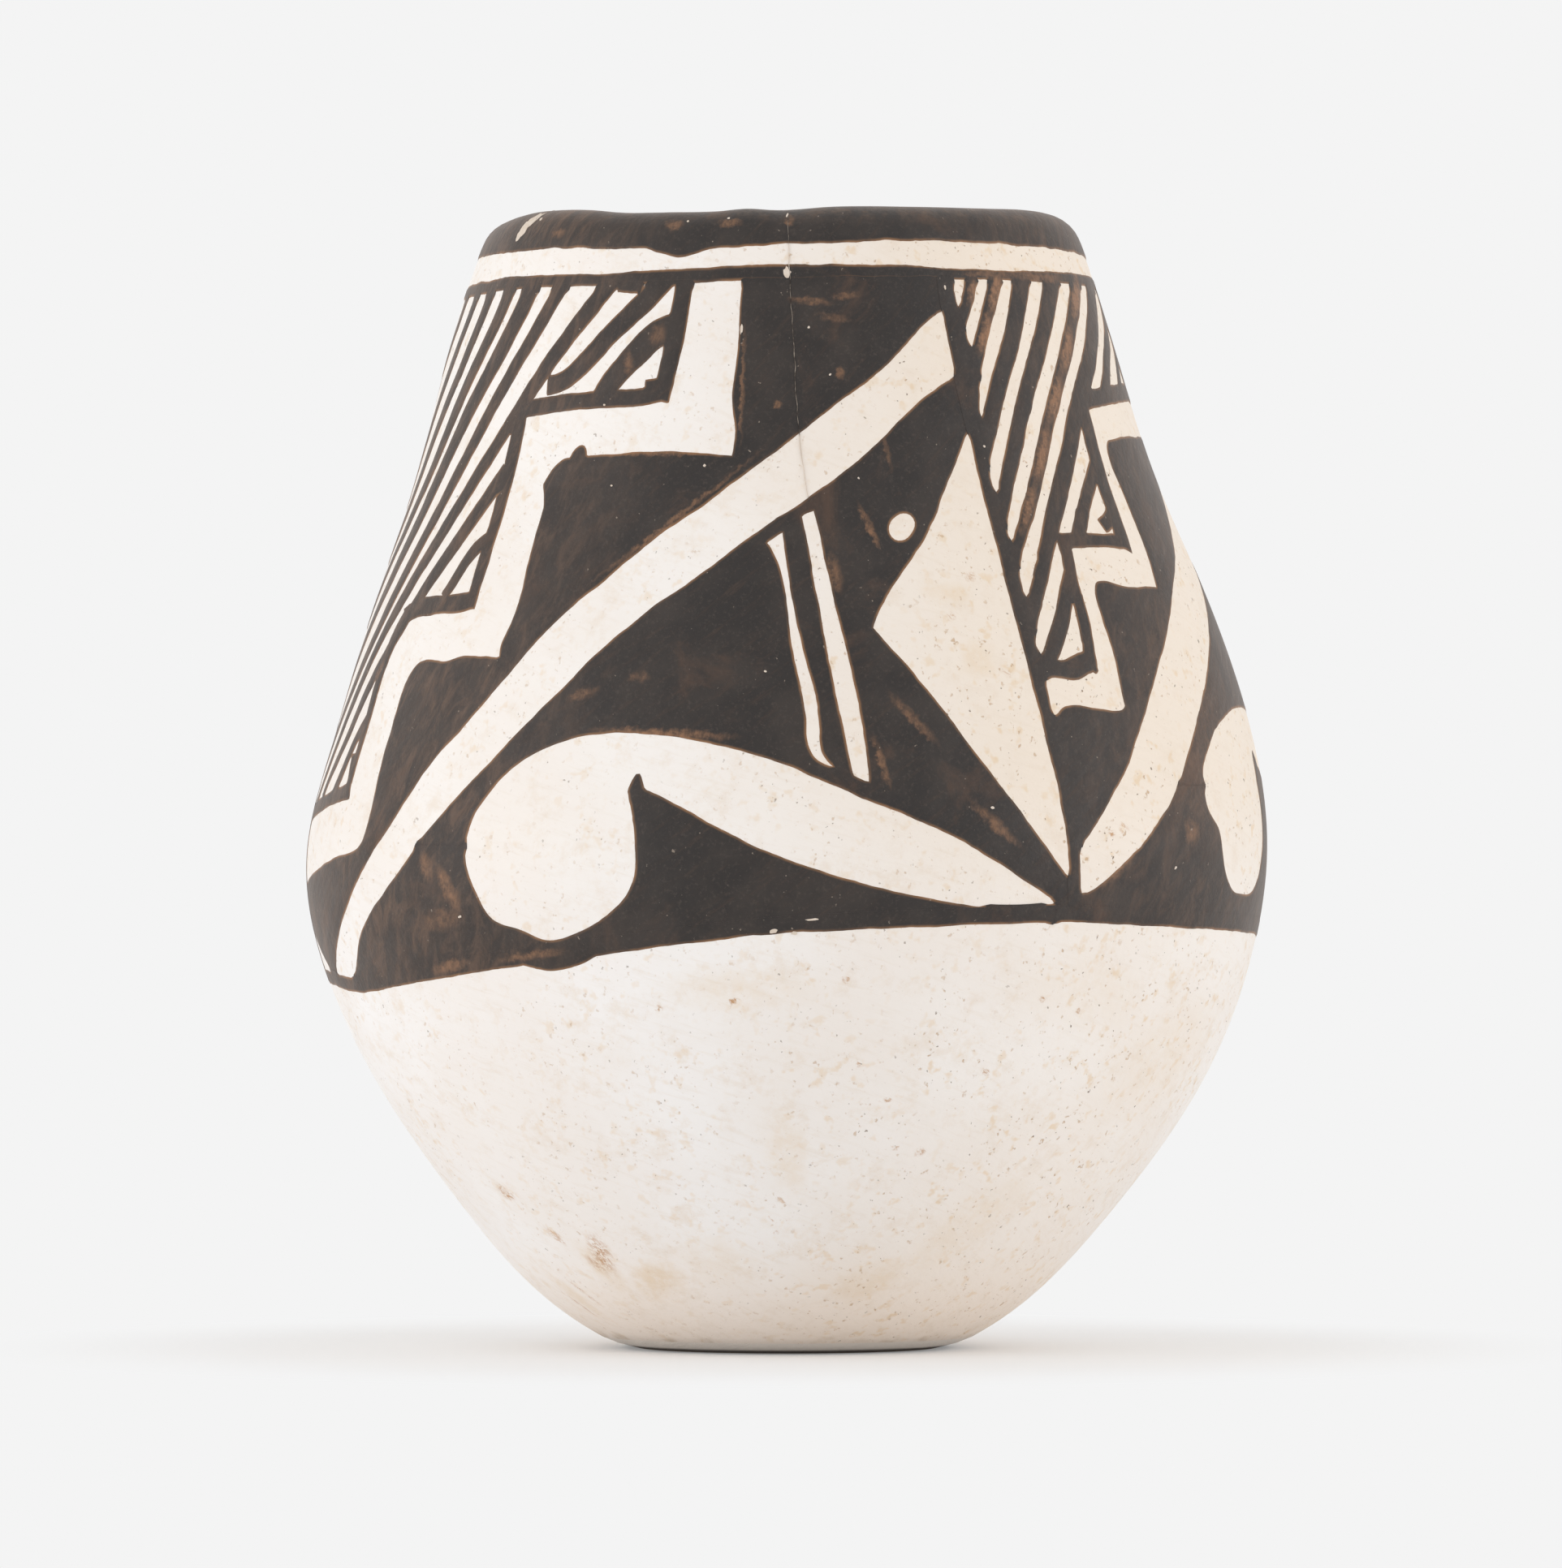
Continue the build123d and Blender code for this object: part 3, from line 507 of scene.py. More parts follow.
def tree_of(points):
    """Search tree of points in the plane or in space."""
    tree = KDTree(len(points))
    for index, point in enumerate(points):
        tree.insert((*point, 0.0)[:3], index)
    tree.balance()
    return tree


def distances(points, tree):
    """Distance of each point from the nearest point of a tree."""
    return np.array([tree.find((*point, 0.0)[:3])[2] for point in points])


def brush_noise(places, phase, fine_phase):
    """How far an unsteady brush strays at places in a plane."""
    slow = [noise.noise(Vector((x, y, phase)) / WOBBLE_LENGTH) for x, y in places]
    quick = [noise.noise(Vector((x, y, fine_phase)) / FINE_WOBBLE_LENGTH) for x, y in places]
    return WOBBLE * np.array(slow) + FINE_WOBBLE * np.array(quick)


def sideways(loop):
    """Unit steps to the right of a loop at each of its points."""
    heading = np.roll(loop, -1, axis=0) - np.roll(loop, 1, axis=0)
    heading /= np.maximum(np.linalg.norm(heading, axis=1), TINY)[:, None]
    return np.column_stack([heading[:, 1], -heading[:, 0]])


def brushed(loops, others):
    """Outlines drawn by hand: unsteady where they are free, and reaching under the paint that they meet."""
    drawn, free = [], []
    for loop in loops:
        chart = even_steps(loop, EDGE_STEP)
        flat = on_face(chart[:, 0] / CHART_RADIUS, along_at(chart[:, 1]), 0.0)
        meets = (distances(flat, others) < SHARED_GAP).astype(float)
        meets = (np.roll(meets, 1) + meets + np.roll(meets, -1)) / 3
        shift = meets * OVERLAP + (1 - meets) * brush_noise(chart, *FIELD_PHASES)
        drawn.append(chart + sideways(chart) * shift[:, None])
        free.append(meets < 0.5)
    return drawn, free


def grid_within(loops, tree):
    """Points of an even grid inside outlines and clear of their edges."""
    across, up = [np.arange(side.min(), side.max(), GRID_STEP) for side in np.vstack(loops).T]
    grid = np.array([(u + (row % 2) * GRID_STEP / 2, v) for row, v in enumerate(up) for u in across])
    grid = grid[inside(grid, loops)]
    return grid[distances(grid, tree) > GRID_CLEAR] if len(grid) else grid


def filled(loops):
    """Chart points and triangles that fill outlines with holes."""
    rim = np.vstack(loops)
    tree = tree_of(rim)
    inner = np.vstack([loop - sideways(loop) * INSET for loop in loops])
    inner = inner[inside(inner, loops)]
    inner = inner[distances(inner, tree) > INSET_CLEAR]
    points = np.vstack([rim, inner, grid_within(loops, tree).reshape(-1, 2)])
    sides, first = [], 0
    for loop in loops:
        count = len(loop)
        sides += [(first + index, first + (index + 1) % count) for index in range(count)]
        first += count
    corners, _, faces, _, _, _ = delaunay_2d_cdt([Vector(point) for point in points], sides, [], 0, FILL_GAP)
    corners = np.array([tuple(corner) for corner in corners])
    faces = np.array([face for face in faces if len(face) == 3])
    return corners, faces[inside(corners[faces].mean(axis=1), loops)]


def closed_film(chart, faces, lift):
    """Points and faces of a thin closed film from its upper face and its height over the slip."""
    count = len(chart)
    top = on_chart(chart, lift)
    bottom = on_chart(chart, -PAINT_DEPTH)
    upper = [tuple(face) for face in faces.tolist()]
    lower = [(c + count, b + count, a + count) for a, b, c in upper]
    sides = {(a, b) for face in upper for a, b in zip(face, face[1:] + face[:1])}
    walls = [(b, a, a + count, b + count) for a, b in sides if (b, a) not in sides]
    return np.vstack([top, bottom]), upper + lower + sorted(walls)


def add_film(node, lift, others, material):
    """A painted area brushed on by hand in place of its solid."""
    loops, free = brushed(left_handed(charted(outlines(node))), others)
    chart, faces = filled(loops)
    open_edge = np.vstack(loops)[np.concatenate(free)]
    away = distances(chart, tree_of(open_edge)) if len(open_edge) else np.full(len(chart), INSET)
    edge = np.clip(away / INSET, 0, 1)
    height = EDGE_LIFT + (lift - EDGE_LIFT) * smooth_step(0, 1, edge)
    points, sides = closed_film(chart, faces, height)
    add_piece(f"paint_{node}", points, sides, material, node, np.tile(edge, 2))


# Painted bands right round the jar

AZIMUTH = np.linspace(-np.pi, np.pi, FINE_COLUMNS, endpoint=False)


def by_azimuth(knots):
    """Smooth values round the jar through knots of degrees and values."""
    return through(knots, np.degrees(AZIMUTH))


def wavering(phase, slowness=1):
    """Brush noise along a line round the jar."""
    angle = AZIMUTH / slowness
    ring = np.column_stack([np.cos(angle), np.sin(angle)]) * CHART_RADIUS
    return brush_noise(ring, phase, phase)


def rim_band_edges():
    """Lower edges of the rim band outside and inside the mouth, as distances along the slip's face."""
    radius, height = faces_by_radius("rim_band")[0].T
    outer, inner = height[radius > CREST_RADIUS].min(), height[radius < CREST_RADIUS].min()
    outside = along_at(outer + by_azimuth(RIM_BAND_EDGE)) + wavering(RIM_OUTER_PHASE)
    within = np.interp(-inner, -FACE[CREST:, 1], FACE_ALONG[CREST:])
    return outside, within + RIM_INNER_WOBBLE * wavering(RIM_INNER_PHASE, 2)


def upper_line_edges():
    """Lower and upper edge of the upper framing line, as distances along the slip's face."""
    heights = [np.interp(AZIMUTH, azimuths(loop), loop[:, 2], period=2 * np.pi)
               for loop in outlines("upper_line")]
    low, high = sorted(heights, key=np.mean)
    high = high + by_azimuth(UPPER_LINE_EDGE)
    return along_at(low) + wavering(LINE_LOW_PHASE), along_at(high) + wavering(LINE_HIGH_PHASE)


def add_band(node, edges, rows, material):
    """A painted band right round the jar between two edges."""
    start, end = edges

    def row(share, lift):
        return on_face(AZIMUTH, start + share * (end - start), lift)

    margin = INSET / (end - start).mean()
    shares = np.concatenate([[0.0], np.linspace(margin, 1 - margin, rows), [1.0]])
    edge = np.concatenate([[0.0], np.ones(rows), [0.0]])
    lifts = EDGE_LIFT + (LINE_LIFT - EDGE_LIFT) * edge
    upper = [row(share, lift) for share, lift in zip(shares, lifts)]
    under = [row(share, -PAINT_DEPTH) for share in shares[::-1]]
    points = hand_made(np.vstack(upper + under))
    row_edge = np.concatenate([edge, edge[::-1]])
    faces = ring_faces(len(row_edge), FINE_COLUMNS, True)
    add_piece(f"paint_{node}", points, faces, material, node, np.repeat(row_edge, FINE_COLUMNS))


# Small marks

def fleck_outline(number, centre, long_half, wide_half, slant):
    """Chart points round a fleck with a ragged edge."""
    turn = math.radians(slant)
    outline = []
    for step in range(FLECK_POINTS):
        angle = 2 * math.pi * step / FLECK_POINTS
        place = Vector((math.cos(angle), math.sin(angle), FLECK_PHASE * number))
        rough = 1 + FLECK_ROUGH * noise.noise(place * FLECK_FINENESS)
        along = long_half * rough * math.cos(angle)
        across = wide_half * rough * math.sin(angle)
        outline.append(centre + (along * math.cos(turn) - across * math.sin(turn),
                                 along * math.sin(turn) + across * math.cos(turn)))
    return outline


def add_flecks(material):
    """Chips and flecks of bare slip in the paint."""
    points, faces = [], []
    lift = np.array([FLECK_LIFT] + [FLECK_LIFT - FLECK_FALL] * FLECK_POINTS)
    count = len(lift)
    for number, (azimuth, height, *form) in enumerate(FLECKS):
        centre = np.array([math.radians(azimuth) * CHART_RADIUS, height])
        chart = np.array([centre] + fleck_outline(number, centre, *form))
        first = len(points)
        points += on_chart(chart, lift).tolist() + on_chart(chart, 0.0).tolist()
        for step in range(FLECK_POINTS):
            near, far = first + 1 + step, first + 1 + (step + 1) % FLECK_POINTS
            faces += [(first, near, far), (first + count, far + count, near + count),
                      (near, near + count, far + count, far)]
    add_piece("paint_chips", points, faces, material)


def noise_up(levels, strength, fineness, place):
    """Noise of some strength at heights over a place."""
    x, z = place
    return strength * np.array([noise.noise(Vector((x, level, z)) * fineness) for level in levels])


def add_crack(material):
    """A hairline crack down from the rim, as a narrow line that thins out at its lower end."""
    bottom, top = CRACK[-1][1], CRACK[0][1]
    levels = np.arange(bottom, top, CRACK_STEP)
    azimuth = through(np.array(CRACK)[::-1, ::-1], levels)
    middle = np.radians(azimuth) * CHART_RADIUS + noise_up(levels, *CRACK_STRAY)
    tail = CRACK_TAIL_WIDTH + (1 - CRACK_TAIL_WIDTH) * smooth_step(bottom, bottom + CRACK_TAIL, levels)
    half = CRACK_WIDTH / 2 * (1 + noise_up(levels, *CRACK_SWELL)) * tail
    left = np.column_stack([middle - half, levels])
    right = np.column_stack([middle + half, levels])
    corners = ((left, CRACK_LIFT), (right, CRACK_LIFT), (right, 0.0), (left, 0.0))
    points = np.stack([on_chart(side, lift) for side, lift in corners], axis=1).reshape(-1, 3)
    faces = [(0, 1, 2, 3)]
    last = 4 * (len(levels) - 1)
    for first in range(0, last, 4):
        faces += [(first + side, first + (side + 1) % 4, first + 4 + (side + 1) % 4, first + 4 + side)
                  for side in range(4)]
    faces.append((last, last + 1, last + 2, last + 3))
    add_piece("hairline_crack", points, faces, material)


# Shader building blocks: where a soft spot starts to fade and where it ends, in its half lengths, and the
# smallest grain as a share of the largest.

SPOT_FADE = (0.25, 1.1)
LEAST_GRAIN = 0.35


class Nodes:
    """Building blocks of a shader tree. Values are numbers or the outputs of other nodes."""

    def __init__(self, tree):
        self.tree = tree

    def feed(self, node, inputs):
        """A node's inputs, each set to a value or joined to an output."""
        for key, value in inputs.items():
            if isinstance(value, bpy.types.NodeSocket):
                self.tree.links.new(value, node.inputs[key])
            else:
                node.inputs[key].default_value = value

    def make(self, kind, inputs, **settings):
        """A new node with its settings and inputs."""
        made = self.tree.nodes.new("ShaderNode" + kind)
        for name, value in settings.items():
            setattr(made, name, value)
        self.feed(made, inputs)
        return made

    def maths(self, operation, first, second):
        """One operation on two numbers."""
        return self.make("Math", {0: first, 1: second}, operation=operation).outputs[0]

    def times(self, first, second):
        """Two numbers multiplied."""
        return self.maths("MULTIPLY", first, second)

    def larger(self, first, second):
        """The larger of two numbers."""
        return self.maths("MAXIMUM", first, second)

    def vectors(self, operation, first, second):
        """One operation on two vectors."""
        return self.make("VectorMath", {0: first, 1: second}, operation=operation).outputs[0]

    def length(self, vector):
        """Length of a vector."""
        return self.make("VectorMath", {0: vector}, operation="LENGTH").outputs["Value"]

    def ease(self, value, low, high, to_low=0.0, to_high=1.0):
        """A value eased from one range to another."""
        inputs = {"Value": value, "From Min": low, "From Max": high, "To Min": to_low, "To Max": to_high}
        return self.make("MapRange", inputs, interpolation_type="SMOOTHSTEP").outputs[0]

    def hill(self, value, rise, fall):
        """1 between a rise and a fall, each given by its two ends, and 0 outside them."""
        return self.times(self.ease(value, *rise), self.ease(value, *fall, 1.0, 0.0))

    def mixed(self, share, first, second):
        """Two colours mixed by a share."""
        return self.make("Mix", {0: share, 6: first, 7: second}, data_type="RGBA").outputs[2]

    def drawn_out(self, vector, lengths=(1, 1, 1), turn=0.0, centre=(0, 0, 0)):
        """A vector from a centre along turned axes, in units of the lengths a pattern is drawn out to."""
        rotation = (0, 0, math.radians(turn))
        inputs = {"Vector": vector, "Location": centre, "Rotation": rotation, "Scale": lengths}
        return self.make("Mapping", inputs, vector_type="TEXTURE").outputs[0]

    def millimetres(self):
        """Places in millimetres."""
        return self.vectors("MULTIPLY", self.make("TexCoord", {}).outputs["Object"], (1 / MM,) * 3)

    def seen_directly(self):
        """1 for rays that show the background as it is: camera, glossy and transmission rays."""
        path = self.make("LightPath", {}).outputs
        seen = self.larger(path["Is Camera Ray"], path["Is Glossy Ray"])
        return self.larger(seen, path["Is Transmission Ray"])


class Coat(Nodes):
    """A surface of the jar: places on it in space and on the chart, and colours laid one on another."""

    def __init__(self, name, specular):
        self.material = bpy.data.materials.new(name)
        self.material.use_nodes = True
        super().__init__(self.material.node_tree)
        self.surface = self.tree.nodes["Principled BSDF"]
        self.feed(self.surface, {"Specular IOR Level": specular})
        self.place = self.millimetres()
        right, back, self.height = self.make("SeparateXYZ", {0: self.place}).outputs
        azimuth = self.maths("ARCTAN2", right, self.times(back, -1.0))
        self.around = self.times(azimuth, CHART_RADIUS)
        self.chart = self.make("CombineXYZ", {0: self.around, 1: self.height}).outputs[0]
        self.colour = None

    def ground(self, share, first, second):
        """The first coat: two display colours mixed by a share."""
        self.colour = self.mixed(share, srgb(*first), srgb(*second))

    def tint(self, share, colour, strength=None):
        """A further coat: a display colour laid on by a share."""
        share = share if strength is None else self.times(share, strength)
        self.colour = self.mixed(share, self.colour, srgb(*colour))

    def cloud(self, scale, detail, roughness=0.5, distortion=0.0, at=None):
        """Soft noise from 0 to 1, at places on the jar or other vectors."""
        inputs = {"Vector": at or self.place, "Scale": scale, "Detail": detail, "Roughness": roughness,
                  "Distortion": distortion}
        return self.make("TexNoise", inputs).outputs["Fac"]

    def streaks(self, lengths, turn, detail, roughness, distortion=0.0):
        """Soft noise drawn out on the chart to two lengths, and turned."""
        drawn_out = self.drawn_out(self.chart, (*lengths, 1.0), turn)
        return self.cloud(1.0, detail, roughness, distortion, drawn_out)

    def flecked(self, scale, level, softness, turn):
        """Small ragged specks: fineness, the noise level from which one shows, and how softly it ends."""
        turned_place = self.drawn_out(self.place, turn=turn)
        return self.ease(self.cloud(scale, 2.0, 0.6, at=turned_place), level, level + softness)

    def grains(self, scale, share, size, turn=0.0):
        """Scattered round grains: how many to a millimetre, the share of them that shows, and their size."""
        turned_place = self.drawn_out(self.place, turn=turn)
        cells = self.make("TexVoronoi", {"Vector": turned_place, "Scale": scale, "Randomness": 1.0}).outputs
        pick = self.make("SeparateColor", {0: cells["Color"]}).outputs
        radius = self.ease(pick[1], 0.0, 1.0, size * LEAST_GRAIN, size)
        dot = self.maths("LESS_THAN", self.maths("DIVIDE", cells["Distance"], scale), radius)
        return self.times(dot, self.maths("LESS_THAN", pick[0], share))

    def unsteady(self, scale, reach):
        """Chart places shaken by noise, so that spots on them get ragged edges."""
        inputs = {"Vector": self.place, "Scale": scale, "Detail": 5.0, "Roughness": 0.6}
        shake = self.make("TexNoise", inputs).outputs["Color"]
        centred = self.vectors("SUBTRACT", shake, (0.5, 0.5, 0.5))
        return self.vectors("ADD", self.chart, self.vectors("MULTIPLY", centred, (reach, reach, 0.0)))

    def spots(self, chart, places):
        """Soft ellipses at chart places: azimuth, height, half length, half width, slant and strength."""
        total = 0.0
        for azimuth, height, long_half, wide_half, slant, strength in places:
            centre = (math.radians(azimuth) * CHART_RADIUS, height, 0)
            reach = self.length(self.drawn_out(chart, (long_half, wide_half, 1), slant, centre))
            total = self.larger(self.ease(reach, *SPOT_FADE, strength, 0.0), total)
        return total

    def finished(self, roughness, relief, depth):
        """The material, with its colour, roughness and relief joined to the surface."""
        bump = self.make("Bump", {"Height": relief, "Strength": 1.0, "Distance": depth * MM}).outputs[0]
        self.feed(self.surface, {"Base Color": self.colour, "Roughness": roughness, "Normal": bump})
        return self.material


# Materials. Stains, scrapes and thin paint: azimuth, height, half length, half width, slant and strength.

SLIP_STAINS = [
    (-28, 4.6, 3.6, 1.6, 10, 0.9), (-40, 5.4, 2.6, 1.6, -30, 0.6), (-58, 3.6, 3.0, 1.0, -30, 0.6),
    (-14, 6.0, 4.5, 2.0, 0, 0.3), (0, 12.5, 1.8, 3.0, 10, 0.5), (17, 4.6, 4.0, 1.6, 10, 0.6),
    (40, 22.0, 6.0, 2.5, -10, 0.25), (60, 18.0, 7.0, 4.0, 20, 0.3), (33, 8.0, 6.0, 2.4, 30, 0.4),
    (-6, 22.5, 5.0, 1.6, 0, 0.4), (22, 46.0, 2.0, 0.8, 0, 0.6), (25, 42.0, 1.6, 1.2, 40, 0.7),
    (120, 14.0, 8.0, 4.0, 20, 0.5), (190, 20.0, 7.0, 3.0, -20, 0.5), (250, 10.0, 8.0, 3.5, 10, 0.6),
]
SLIP_SCRAPES = [
    (-38.2, 6.2, 1.6, 1.3, 60, 1.0), (-41.0, 5.5, 1.2, 0.5, -30, 0.8), (-47.3, 7.3, 1.0, 0.5, -30, 0.9),
    (-53.7, 9.9, 1.0, 0.55, -20, 1.0), (-52, 3.6, 1.8, 0.25, -35, 0.8), (-60, 3.0, 1.8, 0.22, -35, 0.8),
    (-1.0, 9.7, 0.5, 0.14, -20, 0.6), (-2.6, 8.5, 0.45, 0.12, -35, 0.6), (-1.9, 7.65, 0.28, 0.24, 0, 1.0),
    (13.8, 15.8, 0.26, 0.22, 0, 1.0), (9.4, 18.0, 0.24, 0.2, 0, 0.9), (-6.6, 21.7, 0.4, 0.26, 0, 1.0),
    (7, 23.0, 0.3, 0.26, 0, 1.0), (-16, 21.3, 0.3, 0.24, 0, 0.9), (27, 17.4, 0.4, 0.3, 0, 0.9),
    (33, 21.8, 0.36, 0.3, 0, 0.9), (41, 31.6, 0.34, 0.3, 0, 1.0), (43, 32.0, 0.5, 0.4, 0, 0.7),
    (39, 21.0, 0.3, 0.25, 0, 0.8), (36, 30.4, 0.35, 0.25, 0, 0.8), (26, 47.0, 0.5, 0.35, 20, 0.6),
    (22, 44.6, 0.4, 0.3, 0, 0.6), (29, 41.2, 0.4, 0.3, 0, 0.6), (20, 12.6, 0.5, 0.3, 0, 0.7),
    (16, 12.9, 0.4, 0.2, 0, 0.7), (150, 10.0, 1.6, 0.7, 30, 0.9), (-150, 13.0, 1.4, 0.5, -20, 0.9),
    (100, 8.0, 1.2, 0.5, 10, 0.8),
]
PAINT_THIN = [
    (-1.6, 57.3, 0.45, 0.35, 0, 1.0), (8.7, 59.3, 0.45, 0.4, 60, 0.9), (11.8, 50.0, 0.3, 1.7, 24, 0.9),
    (11.3, 35.9, 0.3, 1.8, 15, 0.9), (15.5, 38.5, 2.3, 0.35, -50, 0.7), (25.0, 32.2, 2.2, 0.4, -44, 0.8),
    (-43.6, 28.4, 0.6, 1.9, 30, 1.0), (-47, 29.6, 0.6, 1.2, 20, 0.8), (-45, 26.5, 2.0, 0.8, 10, 0.6),
    (-26.5, 40.0, 1.2, 0.4, 20, 0.7), (-19, 41.0, 0.8, 0.4, 0, 0.5), (-20, 54.45, 5.4, 0.24, 0, 0.8),
    (-16, 50.6, 7.5, 0.22, 36, 0.8), (-15.5, 37.62, 4.6, 0.36, -3, 1.0), (-24, 37.2, 2.0, 0.36, 14, 0.7),
    (-45, 23.7, 1.8, 0.4, 12, 0.9), (-32, 24.4, 2.4, 0.35, 8, 0.9), (56, 31.8, 1.0, 0.9, 30, 0.8),
    # The broad faint spot at azimuth 62 and height 38 is partly thin paint, partly painted sheen at that
    # side.
    (42, 29.5, 1.8, 0.5, 40, 0.8), (62, 38.0, 6.5, 9.0, 0, 0.25), (6.5, 47.2, 0.5, 1.4, 10, 0.8),
    (-48, 68.0, 1.1, 0.35, 0, 0.7), (-22, 68.3, 1.0, 0.4, 0, 0.9), (-11, 68.4, 1.2, 0.3, 0, 0.9),
    (0.4, 68.5, 0.5, 0.4, 0, 0.8), (34.4, 64.3, 0.45, 1.2, -36, 1.0), (39.7, 64.3, 0.6, 2.0, -37, 1.5),
    (35.6, 61.8, 0.6, 1.8, -34, 1.5), (64.6, 64.3, 0.75, 2.7, -52, 1.5), (55.8, 61.0, 0.7, 2.6, -47, 1.5),
    (49.2, 58.0, 0.65, 2.6, -42, 1.5), (43.2, 54.5, 0.6, 2.6, -35, 1.4), (38.0, 51.2, 0.5, 2.2, -36, 1.2),
    (-22.3, 61.6, 0.8, 0.8, -35, 0.6), (-27, 59.9, 0.5, 0.9, 20, 0.7), (4, 63.6, 2.0, 0.3, -4, 0.7),
    (10, 63.9, 1.4, 0.25, 4, 0.6), (8, 62.6, 1.6, 0.3, -6, 0.4), (-7.3, 58.5, 0.2, 4.0, 0, 0.8),
    (19, 58.8, 5.0, 0.22, 30, 0.7), (-68, 41.5, 0.5, 0.9, -30, 0.8), (15.5, 54.5, 0.25, 1.4, 10, 0.6),
    (52, 65.4, 5.0, 0.35, 0, 0.8), (40, 65.4, 4.0, 0.3, 0, 0.7), (130, 40.0, 6.0, 5.0, 20, 0.35),
    (200, 50.0, 5.0, 6.0, 10, 0.35), (260, 38.0, 6.0, 4.0, -20, 0.35),
]
PAINT_SHEEN = {"Sheen Weight": 0.22, "Sheen Roughness": 0.4, "Sheen Tint": srgb(255, 238, 226)}
LIP_HEIGHTS = (68.2, 69.3)

# Heights between which the crack crosses bare slip: where that begins, and where it ends.
CRACK_ON_BAND = ((51.6, 51.9), (55.35, 55.65))
CRACK_UNDER_RIM = ((65.45, 65.6), (67.0, 67.2))


def slip_material():
    """Stone-rubbed white slip, creamier on one side, with stains, scrapes, temper grains and fine pits, and
    painted warm bounce light from the floor low down.
    """
    slip = Coat("white_slip", specular=0.4)
    slip.ground(slip.ease(slip.cloud(0.08, 4), 0.36, 0.66), (247, 244, 242), (243, 237, 232))
    turned_right = slip.hill(slip.around, (-8, 16), (40, 70))
    cream = slip.times(turned_right, slip.ease(slip.height, 24, 36, 0.3, 1.0))
    slip.tint(cream, (236, 219, 199), 0.75)
    slip.tint(slip.ease(slip.height, 20, 34, 0.0, 0.26), (241, 229, 215))
    # Painted warm bounce light from the floor: the slip is tinted warm, most at the foot, fading out by 8 mm
    # up.
    slip.tint(slip.ease(slip.height, 0.5, 8.0, 0.6, 0.0), (248, 231, 214))
    patchy = slip.ease(slip.cloud(0.5, 6, 0.7), 0.5, 0.74, 0.0, 0.46)
    slip.tint(patchy, (230, 213, 194))
    rubbed = slip.streaks((3.2, 0.4), -18, 5, 0.65)
    slip.tint(slip.ease(rubbed, 0.5, 0.78, 0.0, 0.24), (224, 207, 186))
    uneven = slip.ease(slip.cloud(0.9, 5, 0.7), 0.3, 0.62, 0.3, 1.0)
    stained = slip.times(slip.spots(slip.unsteady(0.8, 1.6), SLIP_STAINS), uneven)
    slip.tint(stained, (231, 208, 178), 0.75)
    scribbled = slip.ease(slip.streaks((0.5, 0.24), -35, 5, 0.7, 1.4), 0.42, 0.6)
    scraped = slip.times(slip.spots(slip.unsteady(1.6, 0.7), SLIP_SCRAPES), scribbled)
    slip.tint(scraped, (184, 128, 62), 0.85)
    worn = slip.ease(slip.cloud(0.4, 5), 0.5, 0.66)
    slip.tint(slip.times(slip.ease(slip.height, 0.7, 1.5, 1.0, 0.0), worn), (176, 146, 104), 0.5)
    crowded = slip.times(slip.ease(slip.cloud(0.2, 4, 0.6), 0.36, 0.6, 0.25, 1.0),
                         slip.ease(turned_right, 0.0, 1.0, 0.6, 1.0))
    tan = slip.times(slip.flecked(1.1, 0.56, 0.16, 20), crowded)
    small = slip.times(slip.flecked(2.4, 0.635, 0.1, 65), crowded)
    dark = slip.times(slip.flecked(2.6, 0.7, 0.05, 110), crowded)
    slip.tint(tan, (226, 194, 148), 0.5)
    slip.tint(small, (190, 148, 98), 0.66)
    slip.tint(dark, (104, 76, 44), 0.85)
    raised = slip.maths("ADD", slip.times(slip.cloud(2.6, 5, 0.6), 0.8), slip.times(rubbed, 0.3))
    relief = slip.maths("SUBTRACT", raised, slip.larger(small, dark))
    return slip.finished(slip.ease(rubbed, 0.25, 0.8, 0.42, 0.6), relief, depth=0.03)


